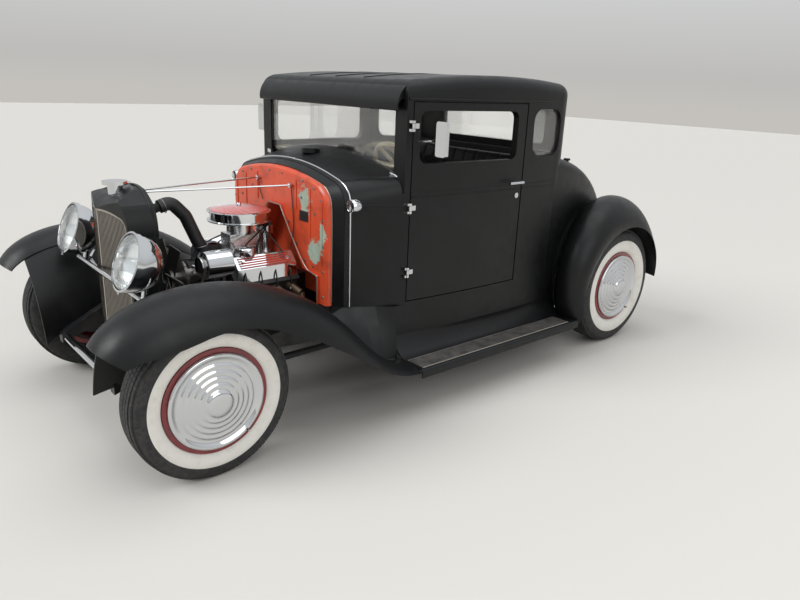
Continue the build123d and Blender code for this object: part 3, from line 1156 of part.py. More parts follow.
# x, height and radius of each pulley's groove
PULLEYS = [(0.0, CRANK_Z, 84.0), (0.0, PUMP_Z, 72.0), (ALTERNATOR[0], ALTERNATOR[2], 34.0)]
BELT_FRONT_Y = ENGINE_FRONT_Y - 92.0
BELT_WIDE = 14.0
BELT_THICK = 6.0
FAN_Y = ENGINE_FRONT_Y - 140.0
FAN_RADIUS = 185.0
FAN_BLADES = 6
with BuildPart() as belt_drive:
    for x, z, radius in PULLEYS[:2]:
        bar((x, BELT_FRONT_Y, z), (x, BELT_FRONT_Y + BELT_WIDE, z), radius)
        bar((x, BELT_FRONT_Y + BELT_WIDE - 1, z), (x, ENGINE_FRONT_Y - FIT, z), 30)
    with BuildSketch(Plane.XZ.offset(-BELT_FRONT_Y - BELT_WIDE + 2)):
        for x, z, radius in PULLEYS:
            with Locations((x, z)):
                Circle(radius + BELT_THICK)
        make_hull()
    extrude(amount=BELT_WIDE - 4)
    with BuildSketch(Plane.XZ.offset(-BELT_FRONT_Y - BELT_WIDE)):
        for x, z, radius in PULLEYS:
            with Locations((x, z)):
                Circle(radius)
        make_hull()
        for x, z, radius in PULLEYS[:2]:
            with Locations((x, z)):
                Circle(radius + 1, mode=Mode.SUBTRACT)
    extrude(amount=BELT_WIDE, mode=Mode.SUBTRACT)
    bar((0, BELT_FRONT_Y + 1, PUMP_Z), (0, FAN_Y, PUMP_Z), 20)
    bar((0, FAN_Y, PUMP_Z), (0, FAN_Y - 12, PUMP_Z), 52)
    for blade in range(FAN_BLADES):
        turn = radians(360 / FAN_BLADES * blade)
        out = Vector(cos(turn), 0, sin(turn))
        with BuildSketch(Plane(origin=(0, FAN_Y - 6, PUMP_Z), x_dir=(0, 1, 0), z_dir=out)):
            Rectangle(4, 58, rotation=28)
        extrude(amount=FAN_RADIUS)

with BuildPart() as alternator:
    x, y, z = ALTERNATOR
    bar((x, y, z), (x, y + 116, z), 62)
    bar((x, y - 18, z), (x, y, z), PULLEYS[2][2] - FIT)
    bar((x, y - 22, z), (x, y - 18, z), PULLEYS[2][2] + 8)
    bar((x, y + 116, z), (x, y + 126, z), 44)
    block((118, x), (y + 88, y + 100), (600, 664))
    block((20, x), (y + 30, y + 40), (628, 652))
    for piece in (engine_block, belt_drive, valve_covers, radiator_hose, intake):
        add(piece.part, mode=Mode.SUBTRACT)
    drop_offcuts(alternator)

# Seat, parcel shelf and dash
SEAT_Y = AXLE_Y + 1560.0
SEAT_HALF = 560.0
SEAT_FOOT = RAIL_TOP + FLOOR_THICK + 2 * FIT
SEAT_BACK_Y = BULKHEAD_Y - FLOOR_THICK - FIT
CUSHION_Z = 700.0
BACK_TOP_Z = 1172.0
# station and height round the seat's section
SEAT_SECTION = [
    (SEAT_Y, SEAT_FOOT), (SEAT_Y - 6, CUSHION_Z), (SEAT_Y + 20, CUSHION_Z + 34),
    (SEAT_Y + 400, CUSHION_Z + 4), (SEAT_Y + 440, BACK_TOP_Z - 20), (SEAT_Y + 490, BACK_TOP_Z),
    (SEAT_BACK_Y, BACK_TOP_Z - 12), (SEAT_BACK_Y, SEAT_FOOT),
]
with BuildPart() as seat:
    with BuildSketch(Plane.YZ.offset(-SEAT_HALF)):
        with BuildLine():
            Polyline(*SEAT_SECTION, close=True)
        make_face()
    extrude(amount=2 * SEAT_HALF)
with BuildPart() as parcel_shelf:
    block((-590, 590), (BULKHEAD_Y, CAB_REAR_Y - BODY_WALL - FIT), (BACK_TOP_Z - 30, BACK_TOP_Z - 20))
    block((-590, 590), (BULKHEAD_Y, BULKHEAD_Y + 10), (KICK_TOP + 40 + FIT, BACK_TOP_Z - 25))
    add(rear_body.part, mode=Mode.SUBTRACT)
DASH_Y = AXLE_Y + 1060.0
DASH_TOP_Z = 1118.0
DASH_HALF = CAB_FRONT_HALF - BODY_WALL - 10
with BuildPart() as dash:
    with BuildSketch(Plane.YZ.offset(-DASH_HALF)):
        with BuildLine():
            Polyline((DASH_Y, DASH_TOP_Z), (DASH_Y + 60, DASH_TOP_Z + 2), (DASH_Y + 74, DASH_TOP_Z - 10),
                     (DASH_Y + 62, DASH_TOP_Z - 143), (DASH_Y + 54, DASH_TOP_Z - 143),
                     (DASH_Y + 62, DASH_TOP_Z - 18), (DASH_Y, DASH_TOP_Z - 8), close=True)
        make_face()
    extrude(amount=2 * DASH_HALF)
    add(cowl_form.part, mode=Mode.SUBTRACT)

# Steering column and wheel
WHEEL_CENTRE = Vector(330.0, AXLE_Y + 1245.0, 1036.0)
COLUMN_FOOT = Vector(330.0, FIREWALL_Y + FIREWALL_THICK + FIT, 665.0)
WHEEL_RIM = 195.0
COLUMN_RADIUS = 18.0
with BuildPart() as steering_wheel:
    bar(COLUMN_FOOT, WHEEL_CENTRE, COLUMN_RADIUS)
    face = Plane(origin=WHEEL_CENTRE, x_dir=(1, 0, 0), z_dir=WHEEL_CENTRE - COLUMN_FOOT)
    with BuildSketch(face):
        Circle(34)
    extrude(amount=30)
    with Locations(face.offset(14)):
        Torus(WHEEL_RIM, 11)
        with PolarLocations(WHEEL_RIM / 2, 3):
            Box(WHEEL_RIM, 26, 8)
    for piece in (dash, floor, firewall):
        add(piece.part, mode=Mode.SUBTRACT)
    drop_offcuts(steering_wheel)

# Glass: the windshield, and the rear and quarter panes in the body's openings
GLASS = 5.0
with BuildPart() as window_glass:
    block((-WINDSHIELD_HALF + FIT, WINDSHIELD_HALF - FIT), (WINDSHIELD_Y + 12, WINDSHIELD_Y + 12 + GLASS),
          (1050, WINDSHIELD_TOP - FIT))
    add(cowl_form.part, mode=Mode.SUBTRACT)
    with BuildSketch(Plane.XZ.offset(-CAB_REAR_Y + 20)):
        with Locations((0, sum(REAR_WINDOW_Z) / 2)):
            RectangleRounded(2 * REAR_WINDOW_HALF - 2 * FIT, REAR_WINDOW_Z[1] - REAR_WINDOW_Z[0] - 2 * FIT,
                             REAR_WINDOW_ROUND - FIT)
    extrude(amount=GLASS)
    y_from, y_to, z_from, z_to = QUARTER_WINDOW
    for side, sign in SIDES:
        with BuildSketch(Plane.YZ.offset(sign * (BODY_HALF - 28))):
            with Locations(((y_from + y_to) / 2, (z_from + z_to) / 2)):
                RectangleRounded(y_to - y_from - 2 * FIT, z_to - z_from - 2 * FIT, QUARTER_ROUND - FIT)
        extrude(amount=GLASS)

# Door hardware: three hinge straps, handle, lock and the tall mirror on its arm
HINGE_X = 636.0
HINGE_Y = DOOR_FRONT_Y - 8.0
HINGES = (1310.0, 946.0, 645.0)
PIN_RADIUS = 8.0
STRAP_HALF = 11.0
STRAP_LONG = 34.0
HANDLE = (690.0, AXLE_Y + 1735.0, 1027.0)
HANDLE_LONG = 92.0
MIRROR = (765.0, HINGE_Y + 52.0, 1262.0)
MIRROR_WIDE = 62.0
MIRROR_TALL = 150.0
hardware_pieces = []
for (side, sign), (label, door) in zip(SIDES, door_pieces):
    with BuildPart() as hardware:
        for z in HINGES:
            bar((sign * HINGE_X, HINGE_Y, z - STRAP_HALF), (sign * HINGE_X, HINGE_Y, z + STRAP_HALF), PIN_RADIUS)
            block(sorted((sign * (HINGE_X - 11), sign * (HINGE_X - 1))), (HINGE_Y + 2, HINGE_Y + STRAP_LONG),
                  (z - STRAP_HALF, z + STRAP_HALF))
            block(sorted((sign * (HINGE_X - 28), sign * (HINGE_X - 10))),
                  (DOOR_FRONT_Y + DOOR_GAP + FIT, HINGE_Y + STRAP_LONG), (z - STRAP_HALF, z + STRAP_HALF))
        x, y, z = HANDLE
        bar((sign * 630, y, z), (sign * x, y, z), 9)
        bar((sign * x, y + 12, z), (sign * x, y - HANDLE_LONG, z), 8)
        bar((sign * 630, y + 6, z - 70), (sign * 658, y + 6, z - 70), 14)
        x, y, z = MIRROR
        bar((sign * 620, y - 7, z - 20), (sign * 702, y + 8, z - 14), 8)
        bar((sign * 696, y + 7, z - 14), (sign * x, y, z), 7)
        with BuildSketch(Plane.XZ.offset(-y - 10)):
            with Locations((sign * x, z)):
                RectangleRounded(MIRROR_WIDE, MIRROR_TALL, 12)
        extrude(amount=20)
        add(door.part, mode=Mode.SUBTRACT)
        drop_offcuts(hardware, 6)
    hardware_pieces.append((f"door_hardware_{side}", hardware))

# Hinge halves on the body above and below each strap
HALF_GAP = 1.5
HALF_TALL = 11.0
with BuildPart() as hinge_halves:
    for side, sign in SIDES:
        for z in HINGES:
            for low in (z - STRAP_HALF - HALF_GAP - HALF_TALL, z + STRAP_HALF + HALF_GAP):
                bar((sign * HINGE_X, HINGE_Y, low), (sign * HINGE_X, HINGE_Y, low + HALF_TALL), PIN_RADIUS)
                block(sorted((sign * (HINGE_X - 30), sign * (HINGE_X + 2))), (HINGE_Y - 17, HINGE_Y - 1),
                      (low, low + HALF_TALL))
    for piece in (cowl_form, windshield_frame, roof):
        add(piece.part, mode=Mode.SUBTRACT)
    drop_offcuts(hinge_halves, 12)

# Cowl lamps on short arms, and the tail lamps on stalks from the rear fenders
COWL_LAMP = (535.0, BAND_Y - 6.0, 961.0)
COWL_LAMP_RADIUS = 32.0
with BuildPart() as cowl_lamps:
    x, y, z = COWL_LAMP
    bar((480, y + 42, z - 13), (x - 4, y + 42, z - 6), 9)
    with BuildSketch(Plane.YZ.offset(x)):
        with BuildLine():
            Polyline((y + 76, z), (y, z), (y, z + COWL_LAMP_RADIUS - 4), (y + 12, z + COWL_LAMP_RADIUS))
            ThreePointArc((y + 12, z + COWL_LAMP_RADIUS), (y + 52, z + 24), (y + 76, z))
        make_face()
    revolve(axis=Axis((x, 0, z), (0, 1, 0)))
    for piece in (cowl_form, cowl_band):
        add(piece.part, mode=Mode.SUBTRACT)
    drop_offcuts(cowl_lamps)
    mirror(about=Plane.YZ)

TAIL_LAMP = (560.0, LENGTH / 2 - 30.0, 560.0)
TAIL_LAMP_RADIUS = 42.0
with BuildPart() as tail_lamps:
    x, y, z = TAIL_LAMP
    bar((x, y, z), (x, y + 24, z), TAIL_LAMP_RADIUS)
    bar((x, y - 60, z), (x, y, z), 10)
    add(rear_fenders.part, mode=Mode.SUBTRACT)
    drop_offcuts(tail_lamps)
    mirror(about=Plane.YZ)

# All pieces under their names
pieces = wheel_pieces + knuckle_pieces + door_pieces + hardware_pieces + [
    ("tie_rod", tie_rod), ("front_axle", front_axle), ("rear_axle", rear_axle),
    ("frame_rails", frame_rails), ("spreader_bar", spreader_bar), ("cowl", cowl),
    ("windshield_frame", windshield_frame), ("roof", roof), ("rear_body", rear_body),
    ("deck_lid", deck_lid), ("front_fenders", front_fenders), ("rear_fenders", rear_fenders),
    ("running_boards", running_boards), ("floor", floor), ("firewall", firewall),
    ("cowl_band", cowl_band), ("filler_caps", filler_caps), ("grille_shell", grille_shell),
    ("grille_insert", grille_insert), ("radiator", radiator), ("radiator_cap", radiator_cap),
    ("radiator_hose", radiator_hose), ("headlamp_shells", headlamp_shells),
    ("headlamp_lenses", headlamp_lenses), ("headlamp_bar", headlamp_bar), ("stay_rods", stay_rods),
    ("engine_block", engine_block), ("driveshaft", driveshaft), ("valve_covers", valve_covers),
    ("intake", intake), ("air_cleaner", air_cleaner), ("exhaust", exhaust), ("belt_drive", belt_drive),
    ("alternator", alternator), ("seat", seat), ("parcel_shelf", parcel_shelf), ("dash", dash),
    ("steering_wheel", steering_wheel), ("window_glass", window_glass),
    ("hinge_halves", hinge_halves), ("cowl_lamps", cowl_lamps),
    ("tail_lamps", tail_lamps),
]
os.makedirs("parts", exist_ok=True)
for name, piece in pieces:
    piece.part.label = name
    export_step(piece.part, f"parts/{name}.step")
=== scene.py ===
"""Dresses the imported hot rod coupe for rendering: satin paint, chrome, whitewall tyres and an open V8."""

from collections import namedtuple
from math import atan2, cos, exp, hypot, pi, radians, sin, tau

import bmesh
import bpy
from bpy.props import FloatProperty, FloatVectorProperty, IntProperty, PointerProperty
from bpy.types import Operator, Panel, PropertyGroup
from mathutils import Matrix, Vector


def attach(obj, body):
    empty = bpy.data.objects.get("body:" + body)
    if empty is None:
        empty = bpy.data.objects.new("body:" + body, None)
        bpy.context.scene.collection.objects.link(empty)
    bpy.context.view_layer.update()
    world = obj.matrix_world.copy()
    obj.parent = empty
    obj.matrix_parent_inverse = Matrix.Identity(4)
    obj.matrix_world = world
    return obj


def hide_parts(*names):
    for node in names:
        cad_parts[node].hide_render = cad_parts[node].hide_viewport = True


bl_info = {
    "name": "Hot Rod Coupe",
    "version": (1, 0, 0),
    "blender": (4, 5, 0),
    "location": "3D View > Sidebar > Coupe",
    "description": "Builds the finishes and small parts of a chopped hot rod coupe on its CAD frame",
    "category": "Object",
}

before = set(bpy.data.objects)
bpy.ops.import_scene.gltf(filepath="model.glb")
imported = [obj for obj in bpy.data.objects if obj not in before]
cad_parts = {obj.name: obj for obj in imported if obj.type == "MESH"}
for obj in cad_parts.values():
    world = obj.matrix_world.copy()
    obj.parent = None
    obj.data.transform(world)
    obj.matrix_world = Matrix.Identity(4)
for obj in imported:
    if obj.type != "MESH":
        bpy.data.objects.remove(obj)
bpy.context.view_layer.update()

# Places shared with the CAD source, in metres
AXLE_Y = -1.332
REAR_AXLE_Y = AXLE_Y + 2.629
SIDES = (("left", 1), ("right", -1))
# axle, its place along the car, tyre radius, half track, half of the tyre's width
AXLES = (("front", AXLE_Y, 0.323, 0.680, 0.072), ("rear", REAR_AXLE_Y, 0.350, 0.702, 0.085))
# name, body, hub centre, side, tyre radius, half of the tyre's width
CORNERS = [
    (f"{axle}_{side}", f"road_{axle}_{side}", Vector((sign * track, y, radius)), sign, radius, half)
    for axle, y, radius, track, half in AXLES
    for side, sign in SIDES
]


def at(x, station, z):
    """A place in metres, from millimetres: across, behind the front axle, and up."""
    return Vector((x / 1000, AXLE_Y + station / 1000, z / 1000))


def bow(points, station):
    """The value at a station of the parabola through three points of station and value."""
    (a, u), (b, v), (c, w) = points
    return (u * (station - b) * (station - c) / ((a - b) * (a - c))
            + v * (station - a) * (station - c) / ((b - a) * (b - c))
            + w * (station - a) * (station - b) / ((c - a) * (c - b)))


def cowl_half(station):
    """Half width of the cowl's side between the bright band and the door."""
    (band, band_half), (door, door_half) = COWL_SIDE
    return band_half + (door_half - band_half) * (station - band) / (door - band)


# Millimetres, with stations behind the front axle, as in the CAD source.
# Station and half width of the cowl at the bright band and at the door
COWL_SIDE = ((770, 484), (1035, 621))
ROOF_LINE = [(1003, 1498), (1640, 1538), (2185, 1508)]
SIDE_LINE = [(1003, 618), (1560, 652), (2050, 640)]
BELT_HEIGHTS = (992, 1014)
LAMP = at(360, -160, 800)
LAMP_PITCH = radians(20.5)
LENS_RADIUS = 0.1085
AIR_STATION = 505
BANK_LEAN = radians(45)
CRANK_Z = 430
HEAD_MIDDLE = 514
SPARK_STATION = 638
FIREWALL_STATION = 708
MAT_MIDDLE, MAT_FROM, MAT_TO = 762, 990, 2106
# x and height down one side of the grille shell's outline, and of the firewall's rim
SHELL_SIDE = [(47, 1034), (93, 1026), (136, 1004), (178, 978), (202, 939), (213, 850), (217, 640),
              (222, 425)]
PAN_SIDE = [(200, 1069), (364, 1037), (402, 1015), (428, 982), (438, 930), (438, 720), (438, 500)]
SHELL_CONTOUR = [(-x, z) for x, z in reversed(SHELL_SIDE)] + [(0, 1037)] + SHELL_SIDE
PAN_RIM = [(-x, z) for x, z in reversed(PAN_SIDE)] + [(0, 1083)] + PAN_SIDE
# x and height of each bolt head on one side of the firewall
FIREWALL_BOLTS = [(410, 520), (410, 640), (410, 760), (410, 880), (388, 968), (330, 1016), (240, 1040),
                  (60, 1054), (120, 830), (190, 735), (262, 668), (330, 650), (230, 960), (340, 900)]
# x and height of the recess's edge in the firewall, from one foot up to its top
RECESS_SIDE = ((375, 500), (375, 612), (372, 616), (252, 632), (56, 900))
# x and height round one upper corner of the windshield's glass
WINDSHIELD_SIDE = [(492, 1384), (520, 1380), (534, 1366), (537, 1340), (536, 1300), (534, 1150)]
# x, height, half width and half height in metres of each patch rubbed to primer on the firewall
WORN_PATCHES = [(0.255, 0.955, 0.045, 0.060), (0.345, 0.720, 0.060, 0.055), (0.400, 0.800, 0.022, 0.065),
                (-0.30, 0.80, 0.03, 0.04)]


# Nodes of a material, and colours

# a material, its tree, the inputs of its Principled shader, and Object coordinates
Paint = namedtuple("Paint", "material tree inputs place")


def linear(colour):
    """The linear colour of an sRGB hex value such as 1b1c1e."""
    parts = [int(colour[i:i + 2], 16) / 255 for i in (0, 2, 4)]
    return [p / 12.92 if p <= 0.04045 else ((p + 0.055) / 1.055) ** 2.4 for p in parts] + [1.0]


def put(tree, kind, feed=None, into=None, **settings):
    """Adds a node with its settings, sets or links each input that feed names, and links it into one."""
    made = tree.nodes.new(kind)
    for name, value in settings.items():
        setattr(made, name, value)
    for key, value in (feed or {}).items():
        if isinstance(value, bpy.types.NodeSocket):
            tree.links.new(value, made.inputs[key])
        else:
            made.inputs[key].default_value = value
    if into is not None:
        tree.links.new(out(made), into)
    return made


def out(node):
    """The first output that a node's settings leave on."""
    return next(socket for socket in node.outputs if socket.enabled)


def shader(name, colour, metallic=0.0, roughness=0.5, **sockets):
    """A new material with one Principled shader, with its tree, shader and Object coordinates."""
    material = bpy.data.materials.new(name)
    material.use_nodes = True
    tree = material.node_tree
    surface = tree.nodes["Principled BSDF"]
    surface.inputs["Base Color"].default_value = linear(colour)
    surface.inputs["Metallic"].default_value = metallic
    surface.inputs["Roughness"].default_value = roughness
    for key, value in sockets.items():
        surface.inputs[key.replace("_", " ")].default_value = value
    return Paint(material, tree, surface.inputs, put(tree, "ShaderNodeTexCoord").outputs["Object"])


def clouds(paint, size, detail, spread=None, reach=(0.0, 1.0), rough=0.55):
    """Cloudy patches about size millimetres across, with the levels of spread stretched to reach."""
    cloud = out(put(paint.tree, "ShaderNodeTexNoise", {"Vector": paint.place, "Scale": 1000 / size,
                                                       "Detail": detail, "Roughness": rough}))
    if spread is None:
        return cloud
    ends = {1: spread[0], 2: spread[1], 3: reach[0], 4: reach[1]}
    return out(put(paint.tree, "ShaderNodeMapRange", {0: cloud, **ends}))


def stain(paint, first, second, *cloud, **more):
    """Colours a finish in clouds that go from one colour to another."""
    first, second = (linear(colour) if isinstance(colour, str) else colour for colour in (first, second))
    feed = {0: clouds(paint, *cloud, **more), 6: first, 7: second}
    put(paint.tree, "ShaderNodeMix", feed, paint.inputs["Base Color"], data_type="RGBA")


def haze(paint, *cloud):
    """Makes a finish rougher in some clouds than in others."""
    paint.tree.links.new(clouds(paint, *cloud), paint.inputs["Roughness"])


def grain(paint, size, detail, depth, strength):
    """Gives a finish a cloudy grain about size millimetres wide and depth millimetres deep."""
    feed = {"Height": clouds(paint, size, detail), "Distance": depth / 1000, "Strength": strength}
    put(paint.tree, "ShaderNodeBump", feed, paint.inputs["Normal"])


MATERIALS = {}


def finish(name):
    """The material of one of the finishes below, made once."""
    if name not in MATERIALS:
        MATERIALS[name] = FINISHES[name]().material
    return MATERIALS[name]


def satin_black():
    """Acrylic enamel flatted to satin over steel: a soft broad shine with fine orange peel and dust."""
    paint = shader("satin black enamel", "0d0e0f", roughness=0.42, Specular_IOR_Level=0.3)
    stain(paint, bpy.context.scene.coupe_sizes.body_black, "131416", 350, 5.0, (0.4, 0.75))
    haze(paint, 50, 6.0, (0.3, 0.7), (0.33, 0.46))
    grain(paint, 2.5, 2.0, 0.06, 0.35)
    return paint


def worn_orange():
    """Orange enamel on the pressed firewall, rubbed through to grey-green primer, with cloudy grime."""
    paint = shader("worn orange enamel", "c2412a", roughness=0.38, Specular_IOR_Level=0.5)
    tree = paint.tree
    parts = put(tree, "ShaderNodeSeparateXYZ", {0: paint.place}).outputs
    ragged = clouds(paint, 45, 6.0, (0.25, 0.75), (-0.75, 0.75), 0.7)
    # bare where it is chipped, and in each patch out to its ragged edge
    bare = clouds(paint, 12, 4.0, (0.69, 0.72), rough=0.75)
    for x, z, wide, tall in WORN_PATCHES:
        away = out(put(tree, "ShaderNodeCombineXYZ", {
            0: out(put(tree, "ShaderNodeMath", {0: parts["X"], 1: x}, operation="SUBTRACT")),
            1: out(put(tree, "ShaderNodeMath", {0: parts["Z"], 1: z}, operation="SUBTRACT"))}))
        shares = put(tree, "ShaderNodeVectorMath", {0: away, 1: (wide, tall, 1.0)}, operation="DIVIDE")
        far = put(tree, "ShaderNodeVectorMath", {0: out(shares)}, operation="LENGTH").outputs["Value"]
        edge = out(put(tree, "ShaderNodeMath", {0: far, 1: ragged}, operation="ADD"))
        patch = out(put(tree, "ShaderNodeMapRange", {0: edge, 1: 1.0, 2: 0.93}))
        bare = out(put(tree, "ShaderNodeMath", {0: bare, 1: patch}, operation="MAXIMUM"))
    layers = [
        # amount, and the two colours that it goes between, of the enamel and of the primer
        (clouds(paint, 120, 4.0), bpy.context.scene.coupe_sizes.firewall_orange, linear("e25c36")),
        (clouds(paint, 30, 5.0), linear("8fa695"), linear("b9c6b4")),
    ]
    enamel, primer = (out(put(tree, "ShaderNodeMix", {0: amount, 6: first, 7: second}, data_type="RGBA"))
                      for amount, first, second in layers)
    stain(paint, out(put(tree, "ShaderNodeMix", {0: bare, 6: enamel, 7: primer}, data_type="RGBA")),
          "4a2a20", 90, 5.0, (0.52, 0.80), (0.0, 0.6))
    put(tree, "ShaderNodeMapRange", {0: bare, 3: 0.30, 4: 0.75}, paint.inputs["Roughness"])
    put(tree, "ShaderNodeBump", {"Height": bare, "Distance": -0.0003, "Strength": 0.6},
        paint.inputs["Normal"])
    return paint


def chrome():
    """Chrome plate on steel: a near mirror with faint haze and specks."""
    paint = shader("chrome plate", "cdcfd1", 1.0, 0.06)
    haze(paint, 20, 6.0, (0.35, 0.8), (0.035, 0.12))
    grain(paint, 30, 2.0, 0.2, 0.15)
    return paint


def polished_alloy():
    """Polished cast aluminium: bright with a soft casting grain left in it."""
    paint = shader("polished cast aluminium", "d3d4d5", 1.0, 0.2)
    haze(paint, 8, 5.0, (0.3, 0.75), (0.12, 0.32))
    grain(paint, 3, 3.0, 0.2, 0.3)
    return paint


def stainless():
    """Satin stainless strip, tinted brownish grey as a painted reflection of its surroundings, with cloudy
    variation.
    """
    paint = shader("satin stainless strip", "a8a29a", 1.0, 0.34)
    # brownish clouds: a painted reflection of the surroundings in the bright metal
    stain(paint, "9a938a", "b3aea6", 150, 4.0)
    return paint


def engine_black():
    """Brushed-on engine paint over rough cast iron, with dust in the pits."""
    paint = shader("engine paint on cast iron", "17181a", roughness=0.5)
    stain(paint, "141517", "2e2c2a", 30, 5.0, (0.45, 0.75))
    grain(paint, 2, 4.0, 0.5, 0.6)
    return paint


def header_steel():
    """Header tube darkened by heat, with straw and blue tints and a little rust."""
    paint = shader("heat-stained steel tube", "5d5650", 0.85, 0.45)
    feed = {0: clouds(paint, 60, 4.0), 6: linear("3a3633"), 7: linear("7d6a55")}
    heat = out(put(paint.tree, "ShaderNodeMix", feed, data_type="RGBA"))
    stain(paint, heat, "5a3423", 20, 6.0, (0.56, 0.66), (0.0, 0.6), 0.7)
    grain(paint, 4, 4.0, 0.3, 0.5)
    return paint


def machined_steel():
    """Turned and ground steel: grey and oiled, with an uneven dull shine."""
    paint = shader("turned steel", "8b8985", 0.9, 0.32)
    haze(paint, 5, 5.0, (0.3, 0.7), (0.25, 0.45))
    return paint


def chassis_black():
    """Semi-gloss black chassis paint with road dust and splashes underneath, which dull it."""
    paint = shader("chassis black", "16171a", roughness=0.45)
    dirt = clouds(paint, 70, 6.0, (0.5, 0.8), (0.0, 0.7))
    put(paint.tree, "ShaderNodeMix", {0: dirt, 6: linear("151618"), 7: linear("3b3530")},
        paint.inputs["Base Color"], data_type="RGBA")
    put(paint.tree, "ShaderNodeMapRange", {0: dirt, 2: 0.7, 3: 0.38, 4: 0.8}, paint.inputs["Roughness"])
    grain(paint, 3, 3.0, 0.3, 0.4)
    return paint


def red_enamel():
    """Deep red stoving enamel on the pressed steel rims."""
    paint = shader("deep red enamel", "7a1019", roughness=0.22, Coat_Weight=0.6, Coat_Roughness=0.08)
    stain(paint, bpy.context.scene.coupe_sizes.rim_red, "5a0c12", 40, 5.0, (0.4, 0.8))
    return paint


def tyre_rubber():
    """Vulcanised black rubber, grey with dust."""
    paint = shader("tyre rubber", "242426", roughness=0.72)
    stain(paint, "202022", "3c3a38", 20, 6.0, (0.4, 0.75))
    grain(paint, 1.5, 3.0, 0.2, 0.5)
    return paint


def white_rubber():
    """Whitewall rubber, scrubbed but a little yellowed and scuffed."""
    paint = shader("whitewall rubber", "e4e1d9", roughness=0.55)
    stain(paint, bpy.context.scene.coupe_sizes.white_wall, "c3bdb0", 50, 7.0, (0.5, 0.85), (0.0, 0.7), 0.7)
    grain(paint, 2, 3.0, 0.1, 0.4)
    return paint


def hose_rubber():
    """Moulded black hose and belt rubber, with a matt skin."""
    paint = shader("moulded hose rubber", "1b1b1c", roughness=0.5)
    grain(paint, 1.5, 3.0, 0.2, 0.4)
    return paint


def black_vinyl():
    """Black upholstery vinyl with a pressed grain, which breaks up its shine."""
    paint = shader("grained black vinyl", "1c1c1e", roughness=0.46)
    # cells 2.2 mm wide, coarser than the real grain of about 1 mm, so that they show
    cells = out(put(paint.tree, "ShaderNodeTexVoronoi", {"Vector": paint.place, "Scale": 1000 / 2.2},
                    feature="DISTANCE_TO_EDGE"))
    height = out(put(paint.tree, "ShaderNodeMapRange", {0: cells, 2: 0.18}))
    put(paint.tree, "ShaderNodeBump", {"Height": height, "Distance": 0.0003, "Strength": 0.5},
        paint.inputs["Normal"])
    return paint


def pale_headliner():
    """Pale woven headliner cloth, soft and matt."""
    paint = shader("woven headliner", "b9b2a2", roughness=0.9, Sheen_Weight=0.25)
    # threads 3 mm apart, coarser than the real 1 mm, so that they show
    weave = put(paint.tree, "ShaderNodeTexWave", {"Vector": paint.place, "Scale": 1000 / 3}).outputs["Fac"]
    put(paint.tree, "ShaderNodeBump", {"Height": weave, "Distance": 0.0003, "Strength": 0.4},
        paint.inputs["Normal"])
    return paint


def cream_enamel():
    """Cream enamel of the garnish strip and wheel rim, aged to a warm tone."""
    paint = shader("aged cream enamel", "cfc3a3", roughness=0.25, Coat_Weight=0.4)
    stain(paint, "d3c8a9", "c4b692", 100, 4.0)
    return paint


def clear_glass():
    """Flat safety glass: clear, thin and very slightly green."""
    return shader("flat safety glass", "f2f7f5", roughness=0.02, Transmission_Weight=1.0, IOR=1.45,
                  Alpha=0.35)


def lens_glass():
    """Pressed lamp glass, nearly colourless."""
    return shader("pressed lamp glass", "fbfdfd", roughness=0.03, Transmission_Weight=1.0, IOR=1.47)


def mirror_glass():
    """Silvered mirror glass, which shows what is around it."""
    return shader("silvered mirror glass", "eef1f2", 1.0, 0.02)


def red_glass():
    """Ruby lamp glass over a reflector, with facets that sparkle."""
    paint = shader("ruby lamp glass", "9a0c10", roughness=0.12, Coat_Weight=1.0)
    # facets 6 mm wide
    facets = out(put(paint.tree, "ShaderNodeTexVoronoi", {"Vector": paint.place, "Scale": 1000 / 6}))
    put(paint.tree, "ShaderNodeBump", {"Height": facets, "Distance": 0.0008, "Strength": 0.5},
        paint.inputs["Normal"])
    return paint


def ribbed_mat():
    """Grey moulded rubber mat, faded by sun and boots."""
    paint = shader("faded rubber mat", "4b4a48", roughness=0.75)
    stain(paint, "3c3b3a", "6a6762", 60, 6.0, (0.35, 0.75))
    grain(paint, 2, 3.0, 0.2, 0.4)
    return paint


def painted_reflection_red():
    """Red in the valleys between polished fins: a painted reflection of the orange firewall, with fine
    crinkles.
    """
    paint = shader("red painted reflection", "c9301f", roughness=0.5)
    stain(paint, "b9281b", "dc4227", 30, 4.0)
    grain(paint, 1.2, 3.0, 0.2, 0.5)
    return paint


def plug_lead():
    """Silicone ignition lead, satin black."""
    return shader("silicone ignition lead", "1d1d20", roughness=0.4)


def core_brass():
    """Radiator core: dark painted brass tubes and fins."""
    paint = shader("painted radiator core", "1d1c1b", 0.3, 0.55)
    # tubes 12 mm apart
    rows = put(paint.tree, "ShaderNodeTexWave", {"Vector": paint.place, "Scale": 1000 / 12},
               bands_direction="Z").outputs["Fac"]
    put(paint.tree, "ShaderNodeBump", {"Height": rows, "Distance": 0.002, "Strength": 0.8},
        paint.inputs["Normal"])
    return paint


FINISHES = {
    "satin": satin_black, "orange": worn_orange, "chrome": chrome, "alloy": polished_alloy,
    "stainless": stainless, "engine": engine_black, "header": header_steel, "steel": machined_steel,
    "chassis": chassis_black, "red": red_enamel, "tyre": tyre_rubber, "white": white_rubber,
    "hose": hose_rubber, "vinyl": black_vinyl, "headliner": pale_headliner, "cream": cream_enamel,
    "glass": clear_glass, "lens": lens_glass, "mirror": mirror_glass, "ruby": red_glass,
    "mat": ribbed_mat, "lead": plug_lead, "core": core_brass, "painted_reflection": painted_reflection_red,
}

